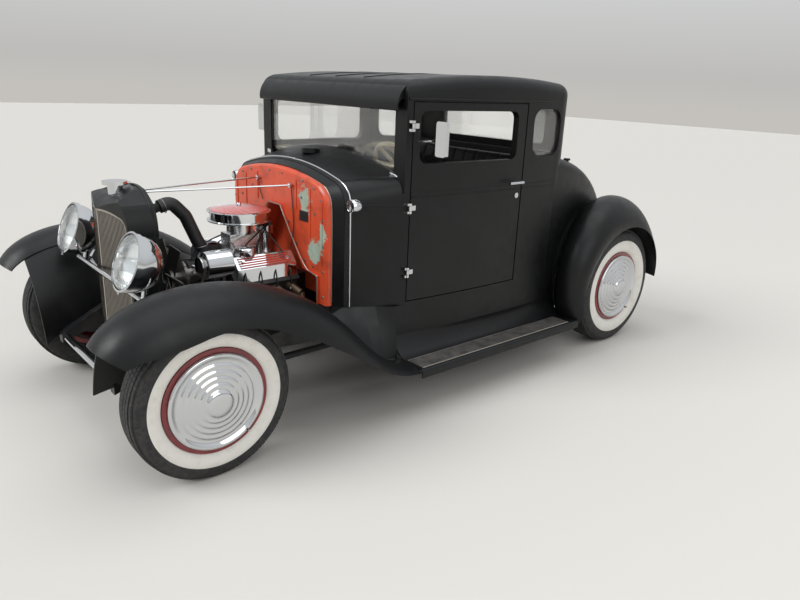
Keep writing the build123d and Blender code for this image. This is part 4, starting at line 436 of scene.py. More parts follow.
# finish of each CAD node that stays in view
NODE_FINISHES = {
    "satin": ("cowl", "windshield_frame", "roof", "rear_body", "deck_lid", "door_left", "door_right",
              "front_fenders", "rear_fenders", "running_boards", "grille_shell", "filler_caps",
              "cowl_band"),
    "orange": ("firewall",),
    "chrome": ("spreader_bar", "door_hardware_left", "door_hardware_right", "hinge_halves", "headlamp_shells",
               "headlamp_bar", "stay_rods", "radiator_cap", "air_cleaner", "cowl_lamps",
               "alternator", "valve_covers"),
    "stainless": ("grille_insert",),
    "alloy": ("intake",),
    "engine": ("engine_block",),
    "core": ("radiator",),
    "header": ("exhaust",),
    "steel": ("belt_drive",),
    "hose": ("radiator_hose",),
    "chassis": ("knuckle_left", "knuckle_right", "tie_rod", "front_axle", "rear_axle", "frame_rails",
                "driveshaft", "floor"),
    "vinyl": ("seat", "parcel_shelf"),
    "cream": ("dash", "steering_wheel"),
    "glass": ("window_glass",),
    "lens": ("headlamp_lenses",),
    "ruby": ("tail_lamps",),
    "red": tuple(f"wheel_{corner[0]}" for corner in CORNERS),
    "tyre": tuple(f"tyre_{corner[0]}" for corner in CORNERS),
}


# Meshes


def new_piece(name, mesh, material, smooth=True):
    """Shows a mesh as a piece with one finish."""
    piece = bpy.data.objects.new(name, mesh)
    bpy.context.scene.collection.objects.link(piece)
    mesh.materials.clear()
    mesh.materials.append(finish(material))
    mesh.polygons.foreach_set("use_smooth", [smooth] * len(mesh.polygons))
    return piece


def from_bmesh(name, shape, material):
    """Makes a piece from a bmesh, with its doubles merged and its faces turned outwards."""
    bmesh.ops.remove_doubles(shape, verts=shape.verts, dist=1e-6)
    bmesh.ops.recalc_face_normals(shape, faces=shape.faces)
    mesh = bpy.data.meshes.new(name)
    shape.to_mesh(mesh)
    shape.free()
    return new_piece(name, mesh, material)


def skin_rows(shape, rows, thickness):
    """Joins rows of vertices by quads and gives the sheet its thickness."""
    for low, high in zip(rows, rows[1:]):
        for i in range(len(low) - 1):
            shape.faces.new((low[i], low[i + 1], high[i + 1], high[i]))
    bmesh.ops.solidify(shape, geom=shape.faces, thickness=thickness)


def settled(holder):
    """The plain mesh of an object with its modifiers applied."""
    return bpy.data.meshes.new_from_object(holder.evaluated_get(bpy.context.evaluated_depsgraph_get()))


def square_to(axis):
    """Two directions square to an axis and to each other."""
    axis = Vector(axis).normalized()
    first = axis.cross((0, 0, 1) if abs(axis.z) < 0.9 else (0, 1, 0)).normalized()
    return first, axis.cross(first)


def turn_profile(shape, profile, centre, axis, steps):
    """Adds a lathe form to a bmesh, from points of distance along the axis and radius."""
    axis = Vector(axis).normalized()
    first, second = square_to(axis)
    rings = []
    for along, radius in profile:
        spot = Vector(centre) + axis * along
        if radius < 1e-6:
            rings.append([shape.verts.new(spot)] * steps)
            continue
        spokes = [cos(tau * i / steps) * first + sin(tau * i / steps) * second for i in range(steps)]
        rings.append([shape.verts.new(spot + radius * spoke) for spoke in spokes])
    for low, high in zip(rings, rings[1:]):
        for i in range(steps):
            j = (i + 1) % steps
            corners = [low[i], low[j], high[j], high[i]]
            corners = [v for n, v in enumerate(corners) if v not in corners[:n]]
            if len(corners) > 2:
                shape.faces.new(corners)


def turned(name, profile, centre, axis, material, steps=64):
    """A piece turned on a lathe."""
    shape = bmesh.new()
    turn_profile(shape, profile, centre, axis, steps)
    return from_bmesh(name, shape, material)


def tubes(name, routes, radius, material, sides=4):
    """Smooth round tubes through lists of points, as one mesh."""
    curve = bpy.data.curves.new(name, "CURVE")
    curve.dimensions = "3D"
    curve.bevel_depth = radius
    curve.bevel_resolution = sides
    curve.resolution_u = 8
    curve.use_fill_caps = True
    for route in routes:
        spline = curve.splines.new("NURBS")
        spline.points.add(len(route) - 1)
        for point, spot in zip(spline.points, route):
            point.co = (*spot, 1.0)
        spline.order_u = 3
        spline.use_endpoint_u = True
    holder = bpy.data.objects.new(name, curve)
    bpy.context.scene.collection.objects.link(holder)
    mesh = settled(holder)
    bpy.data.objects.remove(holder)
    return new_piece(name, mesh, material)


def rim(node, station):
    """Outer outline of a CAD node, foot to foot over the top, near one station."""
    line, reach_of_line = AXLE_Y + station / 1000, 0.004
    heart, shoulder, foot = 0.75, 0.93, 0.30
    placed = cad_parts[node]
    outer = {}
    for vertex in placed.data.vertices:
        spot = placed.matrix_world @ vertex.co
        if abs(spot.y - line) >= reach_of_line:
            continue
        # one point for each 20 mm along the sides, and for each 4 degrees over the arch
        if spot.z < shoulder:
            key = (round(spot.z / 0.02), spot.x > 0)
        else:
            key = round(atan2(spot.x, spot.z - heart) / 0.07)
        reach = hypot(spot.x, spot.z - heart)
        if key not in outer or reach > outer[key][0]:
            outer[key] = (reach, Vector((spot.x, line, spot.z)))
    spots = [spot for reach, spot in outer.values()]
    return sorted(spots, key=lambda spot: atan2(spot.x, spot.z - foot))


def start_tree(name, inputs):
    """A new Geometry Nodes tree with named inputs: returns it, its inputs and its output node."""
    tree = bpy.data.node_groups.new(name, "GeometryNodeTree")
    tree.interface.new_socket("Geometry", in_out="INPUT", socket_type="NodeSocketGeometry")
    for label, kind in inputs:
        tree.interface.new_socket(label, in_out="INPUT", socket_type=kind)
    tree.interface.new_socket("Geometry", in_out="OUTPUT", socket_type="NodeSocketGeometry")
    return tree, tree.nodes.new("NodeGroupInput").outputs, tree.nodes.new("NodeGroupOutput")


def end_tree(tree, spread, source, sink):
    """Realizes the instances, gives them their material and ends the tree."""
    real = put(tree, "GeometryNodeRealizeInstances", {0: spread.outputs["Instances"]}).outputs[0]
    done = put(tree, "GeometryNodeSetMaterial", {"Geometry": real, "Material": source["Material"]})
    tree.links.new(done.outputs["Geometry"], sink.inputs["Geometry"])


# radius of a bolt head's top over that of its foot
CROWN_SHARE = 0.86
TREES = {}


def block_tree():
    """Blocks at points, each turned and scaled by the point's own attributes."""
    if "blocks" not in TREES:
        tree, source, sink = start_tree("blocks at points", [("Size", "NodeSocketVector"),
                                                             ("Material", "NodeSocketMaterial")])
        cube = put(tree, "GeometryNodeMeshCube", {"Size": source["Size"]}).outputs["Mesh"]
        turn, scale = (out(put(tree, "GeometryNodeInputNamedAttribute", {"Name": name},
                               data_type="FLOAT_VECTOR")) for name in ("turn", "scale"))
        turn = out(put(tree, "FunctionNodeEulerToRotation", {0: turn}))
        spread = put(tree, "GeometryNodeInstanceOnPoints",
                     {"Points": source["Geometry"], "Instance": cube, "Rotation": turn, "Scale": scale})
        end_tree(tree, spread, source, sink)
        TREES["blocks"] = tree
    return TREES["blocks"]


def stud_tree():
    """Bolt heads at points, each standing along the point's own axis."""
    if "studs" not in TREES:
        tree, source, sink = start_tree("studs at points", [
            ("Radius", "NodeSocketFloat"), ("Height", "NodeSocketFloat"), ("Sides", "NodeSocketInt"),
            ("Material", "NodeSocketMaterial")])
        crown = out(put(tree, "ShaderNodeMath", {0: source["Radius"], 1: CROWN_SHARE}, operation="MULTIPLY"))
        head = put(tree, "GeometryNodeMeshCone",
                   {"Vertices": source["Sides"], "Radius Top": crown, "Radius Bottom": source["Radius"],
                    "Depth": source["Height"]}).outputs["Mesh"]
        axis = put(tree, "GeometryNodeInputNamedAttribute", {"Name": "axis"}, data_type="FLOAT_VECTOR")
        stand = put(tree, "FunctionNodeAlignRotationToVector", {"Vector": out(axis)}, axis="Z")
        spread = put(tree, "GeometryNodeInstanceOnPoints",
                     {"Points": source["Geometry"], "Instance": head, "Rotation": out(stand)})
        end_tree(tree, spread, source, sink)
        TREES["studs"] = tree
    return TREES["studs"]


def grown(name, tree, spots, material, sizes=None, **attributes):
    """The plain piece that a Geometry Nodes tree grows on points with vector attributes."""
    mesh = bpy.data.meshes.new(name)
    mesh.from_pydata([tuple(spot) for spot in spots], [], [])
    for label, vectors in attributes.items():
        layer = mesh.attributes.new(label, "FLOAT_VECTOR", "POINT")
        layer.data.foreach_set("vector", [part for vector in vectors for part in vector])
    holder = bpy.data.objects.new(name, mesh)
    bpy.context.scene.collection.objects.link(holder)
    grow = holder.modifiers.new("grow", "NODES")
    grow.node_group = tree
    values = {"Size": (1.0, 1.0, 1.0), "Material": finish(material), **(sizes or {})}
    for item in tree.interface.items_tree:
        if item.item_type == "SOCKET" and item.in_out == "INPUT" and item.name in values:
            grow[item.identifier] = values[item.name]
    made = settled(holder)
    bpy.data.objects.remove(holder)
    return new_piece(name, made, material, smooth=False)


def blocks(name, spots, material, scales, turns=None):
    """Blocks of given sizes with their middles on points, turned where turns are given."""
    turns = turns or [(0, 0, 0)] * len(spots)
    return grown(name, block_tree(), spots, material, turn=turns, scale=scales)


def studs(name, spots, ways, radius, height, material, sides=6):
    """Bolt heads standing on points along given directions."""
    return grown(name, stud_tree(), spots, material, {"Radius": radius, "Height": height, "Sides": sides},
                 axis=ways)


def lens_disc(shape, centre, back, up, flute):
    """Adds a round lens to a bmesh, domed forwards, with upright flutes on its face."""
    across = up.cross(back)
    rings, steps = 30, 240
    rise, ridge, thick, proud = 0.0095, 0.0011, 0.0032, 0.0022
    skins = []
    for rear in (0.0, thick):
        rows = []
        for ring in range(rings + 1):
            radius = LENS_RADIUS * ring / rings
            row = []
            for step in range(steps if ring else 1):
                x, z = radius * cos(tau * step / steps), radius * sin(tau * step / steps)
                dome = rise * (1 - (ring / rings) ** 2)
                rib = 0.0 if rear or ring == rings else ridge * abs(cos(pi * x / flute))
                depth = rear - proud - dome - rib
                row.append(shape.verts.new(centre + across * x + up * z + back * depth))
            rows.append(row)
        skins.append(rows)
        for low, high in zip(rows, rows[1:]):
            for i in range(steps):
                j = (i + 1) % steps
                near = [low[i], low[j]] if len(low) > 1 else [low[0]]
                shape.faces.new([*near, high[j], high[i]])
    front, rear = skins[0][-1], skins[1][-1]
    for i in range(steps):
        j = (i + 1) % steps
        shape.faces.new((front[i], front[j], rear[j], rear[i]))


def applied(piece):
    """Bakes a piece's modifiers into its mesh, which is returned."""
    mesh = settled(piece)
    piece.modifiers.clear()
    piece.data = mesh
    return mesh


def puff(piece, pressure=4.0, frames=20, travel=0.024):
    """Blows up a closed cover by a cloth simulation, with no point moved further than travel."""
    mesh = piece.data
    home = [vertex.co.copy() for vertex in mesh.vertices]
    cloth = piece.modifiers.new("puff", "CLOTH")
    cloth.settings.use_pressure = True
    cloth.settings.uniform_pressure_force = pressure
    cloth.settings.effector_weights.gravity = 0.0
    cloth.point_cache.frame_start = 1
    cloth.point_cache.frame_end = frames
    for step in range(1, frames + 1):
        bpy.context.scene.frame_set(step)
    moved = [vertex.co.copy() for vertex in settled(piece).vertices]
    piece.modifiers.clear()
    bpy.context.scene.frame_set(1)
    for vertex, start, end in zip(mesh.vertices, home, moved):
        step = end - start
        vertex.co = start + step * min(1.0, travel / max(step.length, 1e-9))


def cushion(name, low, high, face, channel):
    """A padded block of vinyl: puffed by a cloth simulation, then sewn into channels on its face."""
    middle, span = (low + high) / 2, high - low
    swell, grain, seam_deep, seam_wide = 0.020, 0.011, 0.011, 0.007
    shape = bmesh.new()
    bmesh.ops.create_cube(shape, size=1.0)
    for vert in shape.verts:
        vert.co = middle + Vector([part * (size - 2 * swell) for part, size in zip(vert.co, span)])
    bmesh.ops.bevel(shape, geom=shape.edges[:], offset=0.02, segments=3, profile=0.5, affect="EDGES")
    piece = from_bmesh(name, shape, "vinyl")
    cover = piece.modifiers.new("cover", "REMESH")
    cover.mode = "VOXEL"
    cover.voxel_size = grain
    applied(piece)
    puff(piece)
    smooth = piece.modifiers.new("smooth", "SUBSURF")
    smooth.levels = smooth.render_levels = 1
    made = applied(piece)
    count = round(span.x / channel)
    pitch = span.x / count
    facings = [max(0.0, vertex.normal.dot(face)) for vertex in made.vertices]
    for vertex, facing in zip(made.vertices, facings):
        apart = (vertex.co.x - low.x) / pitch
        away = abs(apart - round(apart)) * pitch
        sewn = 0 < round(apart) < count
        sink = seam_deep * facing * exp(-(away / seam_wide) ** 2) if sewn else 0.0
        vertex.co -= face * sink
        bounds = zip(vertex.co, low, high)
        vertex.co = Vector([min(max(part, least), most) for part, least, most in bounds])
    made.materials.clear()
    made.materials.append(finish("vinyl"))
    made.polygons.foreach_set("use_smooth", [True] * len(made.polygons))
    return piece


def show(piece, body="root", replaces=()):
    """Fixes a finished piece to its body and the nodes it stands for."""
    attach(piece, body)
    if replaces:
        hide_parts(*replaces)


# Operators


# the camera fitted to the photograph: degrees round, up and rolled, place in metres, focal length and
# width of the photograph in its pixels, and width of the sensor in millimetres
CAMERA_ANGLES = (48.60, 17.84, 2.42)
CAMERA_PLACE = (2.913, -1.019 + AXLE_Y, 1.494)
CAMERA_REACH, PHOTO_WIDTH, SENSOR = 679.0, 800.0, 36.0
# radius of a tyre's bead, and the rim's half width over the tyre's
BEAD, RIM_SHARE = 0.1905, 0.78
# distance out of the rim's edge and radius of a hubcap, from the rolled edge to the centre
CAP_STEPS = [(-0.004, 0.1925), (0.004, 0.1940), (0.010, 0.1915), (0.0125, 0.186), (0.011, 0.180),
             (0.004, 0.172), (-0.001, 0.160), (0.0005, 0.152), (0.006, 0.148), (0.0075, 0.142),
             (0.004, 0.137), (0.006, 0.128), (0.0105, 0.124), (0.012, 0.118), (0.009, 0.113),
             (0.011, 0.104), (0.0155, 0.100), (0.017, 0.094), (0.0145, 0.089), (0.017, 0.080),
             (0.0215, 0.076), (0.0225, 0.070), (0.020, 0.065), (0.024, 0.054), (0.030, 0.050),
             (0.0325, 0.044), (0.0345, 0.036), (0.0355, 0.026), (0.036, 0.012), (0.036, 0.0)]
# distance behind the lamp's face and radius of the reflector and of the bulb
BOWL_STEPS = [(0.0035, 0.1060), (0.006, 0.1062), (0.030, 0.1000), (0.062, 0.0810), (0.088, 0.0520),
              (0.101, 0.0240), (0.104, 0.0)]
BULB_STEPS = [(0.100, 0.0), (0.100, 0.014), (0.078, 0.015), (0.072, 0.018), (0.060, 0.021),
              (0.048, 0.018), (0.041, 0.009), (0.040, 0.0)]
# the same for the breather, from its foot up, the cowl lamps' glass, the tail lamps' rims and the gauges
BREATHER_STEPS = [(-0.030, 0.0), (-0.030, 0.016), (0.0, 0.016), (0.002, 0.034), (0.012, 0.036),
                  (0.034, 0.036), (0.040, 0.033), (0.042, 0.0)]
COWL_LAMP_STEPS = [(0.001, 0.0), (0.001, 0.0265), (-0.0015, 0.0265), (-0.0045, 0.018), (-0.006, 0.0)]
TAIL_RIM_STEPS = [(-0.004, 0.0365), (0.0035, 0.0365), (0.005, 0.0385), (0.004, 0.0425), (-0.004, 0.0430),
                  (-0.004, 0.0365)]
GAUGE_STEPS = [(0.0, 0.0), (0.0, 0.024), (0.0035, 0.027), (0.0045, 0.024), (0.002, 0.0215), (0.0018, 0.0)]


class COUPE_OT_stage(Operator):
    """Pale floor and backdrop, soft lamps, and the camera at the photograph's place"""

    bl_idname = "coupe.stage"
    bl_label = "Stage"

    def execute(self, context):
        sizes = context.scene.coupe_sizes
        scene = context.scene
        shape = bmesh.new()
        bmesh.ops.create_grid(shape, x_segments=1, y_segments=1, size=30.0)
        mesh = bpy.data.meshes.new("floor_plane")
        shape.to_mesh(mesh)
        shape.free()
        ground = bpy.data.objects.new("floor_plane", mesh)
        scene.collection.objects.link(ground)
        mesh.materials.append(shader("pale floor", "d8d5cf", roughness=0.8).material)

        world = bpy.data.worlds.new("studio")
        world.use_nodes = True
        scene.world = world
        tree = world.node_tree
        tree.nodes.clear()
        rays = put(tree, "ShaderNodeLightPath").outputs
        seen = rays["Is Camera Ray"]
        for kind in ("Is Transmission Ray", "Is Glossy Ray"):
            seen = out(put(tree, "ShaderNodeMath", {0: seen, 1: rays[kind]}, operation="MAXIMUM"))
        place = put(tree, "ShaderNodeTexCoord").outputs["Generated"]
        height = put(tree, "ShaderNodeSeparateXYZ", {0: place}).outputs["Z"]
        # a pale backdrop that greys towards the horizon, so that chrome shows an edge there
        share = out(put(tree, "ShaderNodeMapRange", {0: height, 1: -1.0, 2: 1.0}))
        sky = put(tree, "ShaderNodeValToRGB", {0: share})
        ramp = sky.color_ramp
        ramp.elements[0].position, ramp.elements[0].color = 0.0, linear("bdbab5")
        ramp.elements[1].position, ramp.elements[1].color = 1.0, linear("eef1f4")
        for spot, colour in ((0.49, "c4c1bc"), (0.51, "bdbcba"), (0.58, "d3d4d5"), (0.72, "e4e6e8")):
            step = ramp.elements.new(spot)
            step.color = linear(colour)
        light = put(tree, "ShaderNodeBackground",
                    {"Color": linear("e8ebee"), "Strength": sizes.world_strength})
        back = put(tree, "ShaderNodeBackground", {"Color": sky.outputs[0], "Strength": 1.0})
        both = put(tree, "ShaderNodeMixShader", {0: seen, 1: light.outputs[0], 2: back.outputs[0]})
        put(tree, "ShaderNodeOutputWorld", {"Surface": both.outputs[0]})

        # name, kind, place, target, width in metres or spread in radians, strength
        for name, kind, spot, target, wide, power in (
            ("key_lamp", "SUN", (-2.0, -6.5, 5.5), (0.2, -0.4, 0.6), 0.5, sizes.key_power),
            ("side_lamp", "AREA", (6.5, -1.0, 4.0), (0.4, 0.0, 0.7), 5.0, sizes.side_power),
            ("top_lamp", "SUN", (0.5, 0.5, 7.0), (0.0, 0.0, 0.6), 1.0, sizes.top_power),
        ):
            lamp = bpy.data.lights.new(name, kind)
            if kind == "SUN":
                lamp.angle = wide
            else:
                lamp.shape = "DISK"
                lamp.size = wide
            lamp.energy = power
            holder = bpy.data.objects.new(name, lamp)
            holder.location = spot
            holder.rotation_euler = (Vector(target) - Vector(spot)).to_track_quat("-Z", "Y").to_euler()
            scene.collection.objects.link(holder)

        azimuth, elevation, roll = (radians(angle) for angle in CAMERA_ANGLES)
        back = Vector((sin(azimuth) * cos(elevation), -cos(azimuth) * cos(elevation), sin(elevation)))
        right = Vector((cos(azimuth), sin(azimuth), 0.0))
        up = back.cross(right)
        across = cos(roll) * right + sin(roll) * up
        upright = -sin(roll) * right + cos(roll) * up
        camera = bpy.data.cameras.new("camera")
        camera.sensor_width = SENSOR
        camera.lens = CAMERA_REACH * SENSOR / PHOTO_WIDTH
        eye = bpy.data.objects.new("camera", camera)
        turn = Matrix((across, upright, back)).transposed().to_4x4()
        eye.matrix_world = Matrix.Translation(CAMERA_PLACE) @ turn
        scene.collection.objects.link(eye)
        scene.camera = eye
        scene.view_settings.view_transform = "Standard"
        return {"FINISHED"}


class COUPE_OT_finishes(Operator):
    """Paint, plate, rubber and glass on every CAD piece that stays in view"""

    bl_idname = "coupe.finishes"
    bl_label = "Finishes"

    def execute(self, context):
        for name, nodes in NODE_FINISHES.items():
            for node in nodes:
                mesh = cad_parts[node].data
                mesh.materials.clear()
                mesh.materials.append(finish(name))
        return {"FINISHED"}


class COUPE_OT_tyres(Operator):
    """Tyres with round shoulders and a raised white wall"""

    bl_idname = "coupe.tyres"
    bl_label = "Tyres"

    def execute(self, context):
        sizes = context.scene.coupe_sizes
        for corner, body, hub, sign, radius, half in CORNERS:
            white_out = sizes.white_front if "front" in corner else sizes.white_rear
            # share of the half section and radius, from the inner bead over the tread to the outer bead
            walls = [(RIM_SHARE, BEAD), (0.80, 0.215), (0.93, 0.232), (1.0, 0.262), (0.985, radius - 0.045),
                     (0.90, radius - 0.022), (0.80, radius - 0.012)]
            profile = [(-share * half, r) for share, r in walls] + [(0, radius - 0.0065)]
            profile += [(share * half, r) for share, r in reversed(walls)] + [(-RIM_SHARE * half, BEAD)]
            carcass = turned(f"carcass_{corner}", profile, hub, (sign, 0, 0), "tyre", 96)
            show(carcass, body, [f"tyre_{corner}"])
            # the white wall stands 1 mm proud of the carcass, from the bead to its outer edge
            wall = [(0.795 * half, 0.2135), (0.805 * half + 0.0015, 0.216), (0.935 * half + 0.0016, 0.233),
                    (0.975 * half + 0.0018, 0.247), (half + 0.0016, white_out - 0.004),
                    (half - 0.0008, white_out)]
            white = turned(f"whitewall_{corner}", wall, hub, (sign, 0, 0), "white", 96)
            show(white, body)
        return {"FINISHED"}


class COUPE_OT_hubcaps(Operator):
    """Full hubcaps with a stepped bowl and a domed centre"""

    bl_idname = "coupe.hubcaps"
    bl_label = "Hubcaps"

    def execute(self, context):
        for corner, body, hub, sign, radius, half in CORNERS:
            face = RIM_SHARE * half + 0.0086
            profile = [(face + out, r) for out, r in CAP_STEPS]
            cap = turned(f"cap_{corner}", profile, hub, (sign, 0, 0), "chrome", 96)
            thick = cap.modifiers.new("sheet", "SOLIDIFY")
            thick.thickness = 0.0012
            thick.offset = -1.0
            show(cap, body, [f"hubcap_{corner}"])
        return {"FINISHED"}


class COUPE_OT_tread(Operator):
    """Five rings of tread blocks round each tyre"""

    bl_idname = "coupe.tread"
    bl_label = "Tread"

    def execute(self, context):
        sizes = context.scene.coupe_sizes
        count = sizes.tread_blocks
        length = 0.9 * tau / count
        # how far the blocks' middles lie inside the tyre's radius, and how much further the outer rings do
        inside, shoulder = 0.0042, 0.003
        for corner, body, hub, sign, radius, half in CORNERS:
            spots, turns, scales = [], [], []
            for row, share in enumerate((-0.62, -0.32, 0.0, 0.32, 0.62)):
                for step in range(count):
                    angle = tau * (step + 0.3 * row) / count
                    reach = radius - inside - (shoulder if abs(share) > 0.5 else 0.0)
                    spots.append(hub + Vector((share * half, reach * cos(angle), reach * sin(angle))))
                    turns.append((angle, 0.0, 0.0))
                    scales.append((0.27 * half, 0.0070, length * radius))
            show(blocks(f"tread_{corner}", spots, "tyre", scales, turns), body)
        return {"FINISHED"}


class COUPE_OT_valves(Operator):
    """A capped valve stem on each wheel, out past the edge of the hubcap"""

    bl_idname = "coupe.valves"
    bl_label = "Valve stems"

    def execute(self, context):
        for corner, body, hub, sign, radius, half in CORNERS:
            face = hub.x + sign * (RIM_SHARE * half + 0.006)
            angle = radians(-52)
            across = Vector((0.0, cos(angle), sin(angle)))
            root = Vector((face, hub.y, hub.z)) + 0.199 * across
            bend, tip = Vector((sign * 0.012, 0, 0)), Vector((sign * 0.026, 0, 0)) - 0.010 * across
            route = [root, root + bend, root + tip]
            show(tubes(f"valve_{corner}", [route], 0.0042, "steel"), body)
        return {"FINISHED"}


class COUPE_OT_headlamps(Operator):
    """Fluted lenses, bright reflectors and bulbs in the two headlamps, and a screw under each rim"""

    bl_idname = "coupe.headlamps"
    bl_label = "Headlamps"

    def execute(self, context):
        sizes = context.scene.coupe_sizes
        back = Vector((0, cos(LAMP_PITCH), -sin(LAMP_PITCH)))
        up = Vector((0, sin(LAMP_PITCH), cos(LAMP_PITCH)))
        lenses, bowls, bulbs = bmesh.new(), bmesh.new(), bmesh.new()
        screws, ways = [], []
        for side, sign in SIDES:
            centre = Vector((sign * LAMP.x, LAMP.y, LAMP.z))
            lens_disc(lenses, centre, back, up, sizes.flute)
            turn_profile(bowls, BOWL_STEPS, centre, back, 64)
            turn_profile(bulbs, BULB_STEPS, centre, back, 20)
            screws.append(centre - 0.1215 * up + 0.004 * back)
            ways.append(-up)
        show(from_bmesh("fluted_lenses", lenses, "lens"), "root", ["headlamp_lenses"])
        show(from_bmesh("reflectors", bowls, "mirror"), "root")
        show(from_bmesh("bulbs", bulbs, "white"), "root")
        show(studs("rim_screws", screws, ways, 0.0055, 0.006, "chrome"), "root")
        return {"FINISHED"}


class COUPE_OT_nose(Operator):
    """Rolled beads of the grille shell, fins of the radiator, and clips of the top hose"""

    bl_idname = "coupe.nose"
    bl_label = "Grille shell trim"

    def execute(self, context):
        bead = [[at(x, 14, z) for x, z in SHELL_CONTOUR]]
        show(tubes("shell_bead", bead, 0.0040, "satin"), "root")
        spots = [at(0, 17.5, 480 + 9 * step) for step in range(44)]
        fins = blocks("radiator_fins", spots, "core", [(0.380, 0.004, 0.0016)] * len(spots))
        show(fins, "root")
        # station, height and direction of the hose's middle line at each clip
        clips, clip_radius = [], 0.0303
        for y, z, ny, nz in ((116, 944, 1.0, 0.28), (278, 750, 0.2, -1.0)):
            way = Vector((0, ny, nz)).normalized()
            first, second = square_to(way)
            centre = at(60, y, z)
            clips.append([centre + clip_radius * (cos(tau * i / 20) * first + sin(tau * i / 20) * second)
                          for i in range(21)])
        show(tubes("hose_clips", clips, 0.0022, "steel"), "root")
        return {"FINISHED"}


class COUPE_OT_air_cleaner(Operator):
    """Finned chrome lid with red in its valleys, a painted reflection of the orange firewall, and its wing
    nut
    """

    bl_idname = "coupe.air_cleaner"
    bl_label = "Air cleaner"

    def execute(self, context):
        sizes = context.scene.coupe_sizes
        # radius of the finned dish, and how far the lid has fallen in millimetres at its edge
        reach, fall, edge = 0.139, 16, 150
        dome = [(-fall * (radius / edge) ** 2 / 1000, radius / 1000) for radius in range(0, 140, 10)]
        skin = ([(drop + 0.0012, radius) for drop, radius in dome] + [(-0.0137, reach)]
                + [(drop - 0.0006, radius) for drop, radius in reversed(dome)])
        # the red dish under the fins is a painted reflection of the orange firewall
        show(turned("lid_painted_reflection", skin, at(0, AIR_STATION, 900), (0, 0, 1), "painted_reflection", 64), "root")
        fins = []
        for step in range(-sizes.lid_fins, sizes.lid_fins + 1):
            x = reach * step / (sizes.lid_fins + 0.6)
            half = (reach ** 2 - x ** 2) ** 0.5
            fin = []
            for share in (-1, -0.75, -0.5, -0.25, 0, 0.25, 0.5, 0.75, 1):
                drop = fall * 1e6 / edge ** 2 * (x ** 2 + (half * share) ** 2)
                fin.append(at(1000 * x, AIR_STATION + 1000 * half * share, 901.4 - drop))
            fins.append(fin)
        show(tubes("lid_fins", fins, 0.0015, "chrome"), "root")
        nut = turned("lid_nut", [(0.0, 0.011), (0.010, 0.011), (0.012, 0.008), (0.0125, 0.0)],
                     at(0, AIR_STATION, 905), (0, 0, 1), "chrome", 6)
        show(nut, "root")
        return {"FINISHED"}


class COUPE_OT_covers(Operator):
    """Red between the fins of the valve covers as a painted reflection of the orange firewall, their nuts,
    and the breather on the left one
    """

    bl_idname = "coupe.covers"
    bl_label = "Valve cover trim"

    def execute(self, context):
        nuts, ways, valleys, turns, scales = [], [], [], [], []
        # height of the covers' tops over the crank along the bank, and how far in their middle line lies
        top, inset = 0.3382, 0.022
        for side, sign in SIDES:
            out = Vector((sign * sin(BANK_LEAN), 0, cos(BANK_LEAN)))
            inward = Vector((-sign * cos(BANK_LEAN), 0, sin(BANK_LEAN)))
            middle = at(0, HEAD_MIDDLE, CRANK_Z) + out * top + inward * inset
            for y in (-0.118, 0.118):
                nuts.append(middle + Vector((0, y, 0)) + out * 0.0065)
                ways.append(out)
            valleys.append(middle)
            turns.append((0.0, sign * BANK_LEAN, 0.0))
            scales.append((0.056, 0.262, 0.0056))
        show(studs("cover_nuts", nuts, ways, 0.0085, 0.012, "chrome"), "root")
        # red blocks between the fins: a painted reflection of the orange firewall
        show(blocks("cover_painted_reflections", valleys, "painted_reflection", scales, turns), "root")
        stack = at(196, HEAD_MIDDLE - 78, 706)
        breather = turned("breather", BREATHER_STEPS, stack, (0, 0, 1), "chrome", 40)
        show(breather, "root")
        return {"FINISHED"}


class COUPE_OT_ignition(Operator):
    """Plug leads from the distributor's towers to the plugs, and the fuel line"""

    bl_idname = "coupe.ignition"
    bl_label = "Ignition leads"

    def execute(self, context):
        routes, towers, ways, plugs, leans = [], [], [], [], []
        # the front plugs' station, the plugs' pitch, and the radius of the ring of towers
        first, pitch, ring = 396, 78, 0.030
        for side, sign in SIDES:
            out = Vector((sign * cos(BANK_LEAN), 0, -sin(BANK_LEAN)))
            for step in range(4):
                angle = radians(20 + 45 * step)
                tower = at(0, SPARK_STATION, 800)
                tower += Vector((sign * ring * sin(angle), ring * cos(angle), 0))
                station = first + pitch * step
                plug = at(sign * 232, station, 566)
                towers.append(tower)
                ways.append(Vector((0, 0, 1)))
                plugs.append(plug)
                leans.append(out)
                shelf = at(sign * (150 + 4 * step), station + 10, 716 - 4 * step)
                drop = at(sign * (266 - 3 * step), station, 640)
                bend = at(sign * (62 + 6 * step), 606, 800 - 8 * step)
                routes.append([tower, tower + Vector((0, 0, 0.026)), bend, shelf, drop, plug + out * 0.042,
                               plug + out * 0.014])
        show(tubes("plug_leads", routes, 0.0036, "lead"), "root")
        show(studs("towers", towers, ways, 0.0065, 0.016, "lead", 10), "root")
        show(studs("plugs", plugs, leans, 0.0075, 0.040, "white", 12), "root")
        line = [at(40, 430, 745), at(96, 428, 742), at(132, 400, 700), at(126, 330, 660), at(108, 312, 590)]
        show(tubes("fuel_line", [line], 0.0040, "steel"), "root")
        return {"FINISHED"}


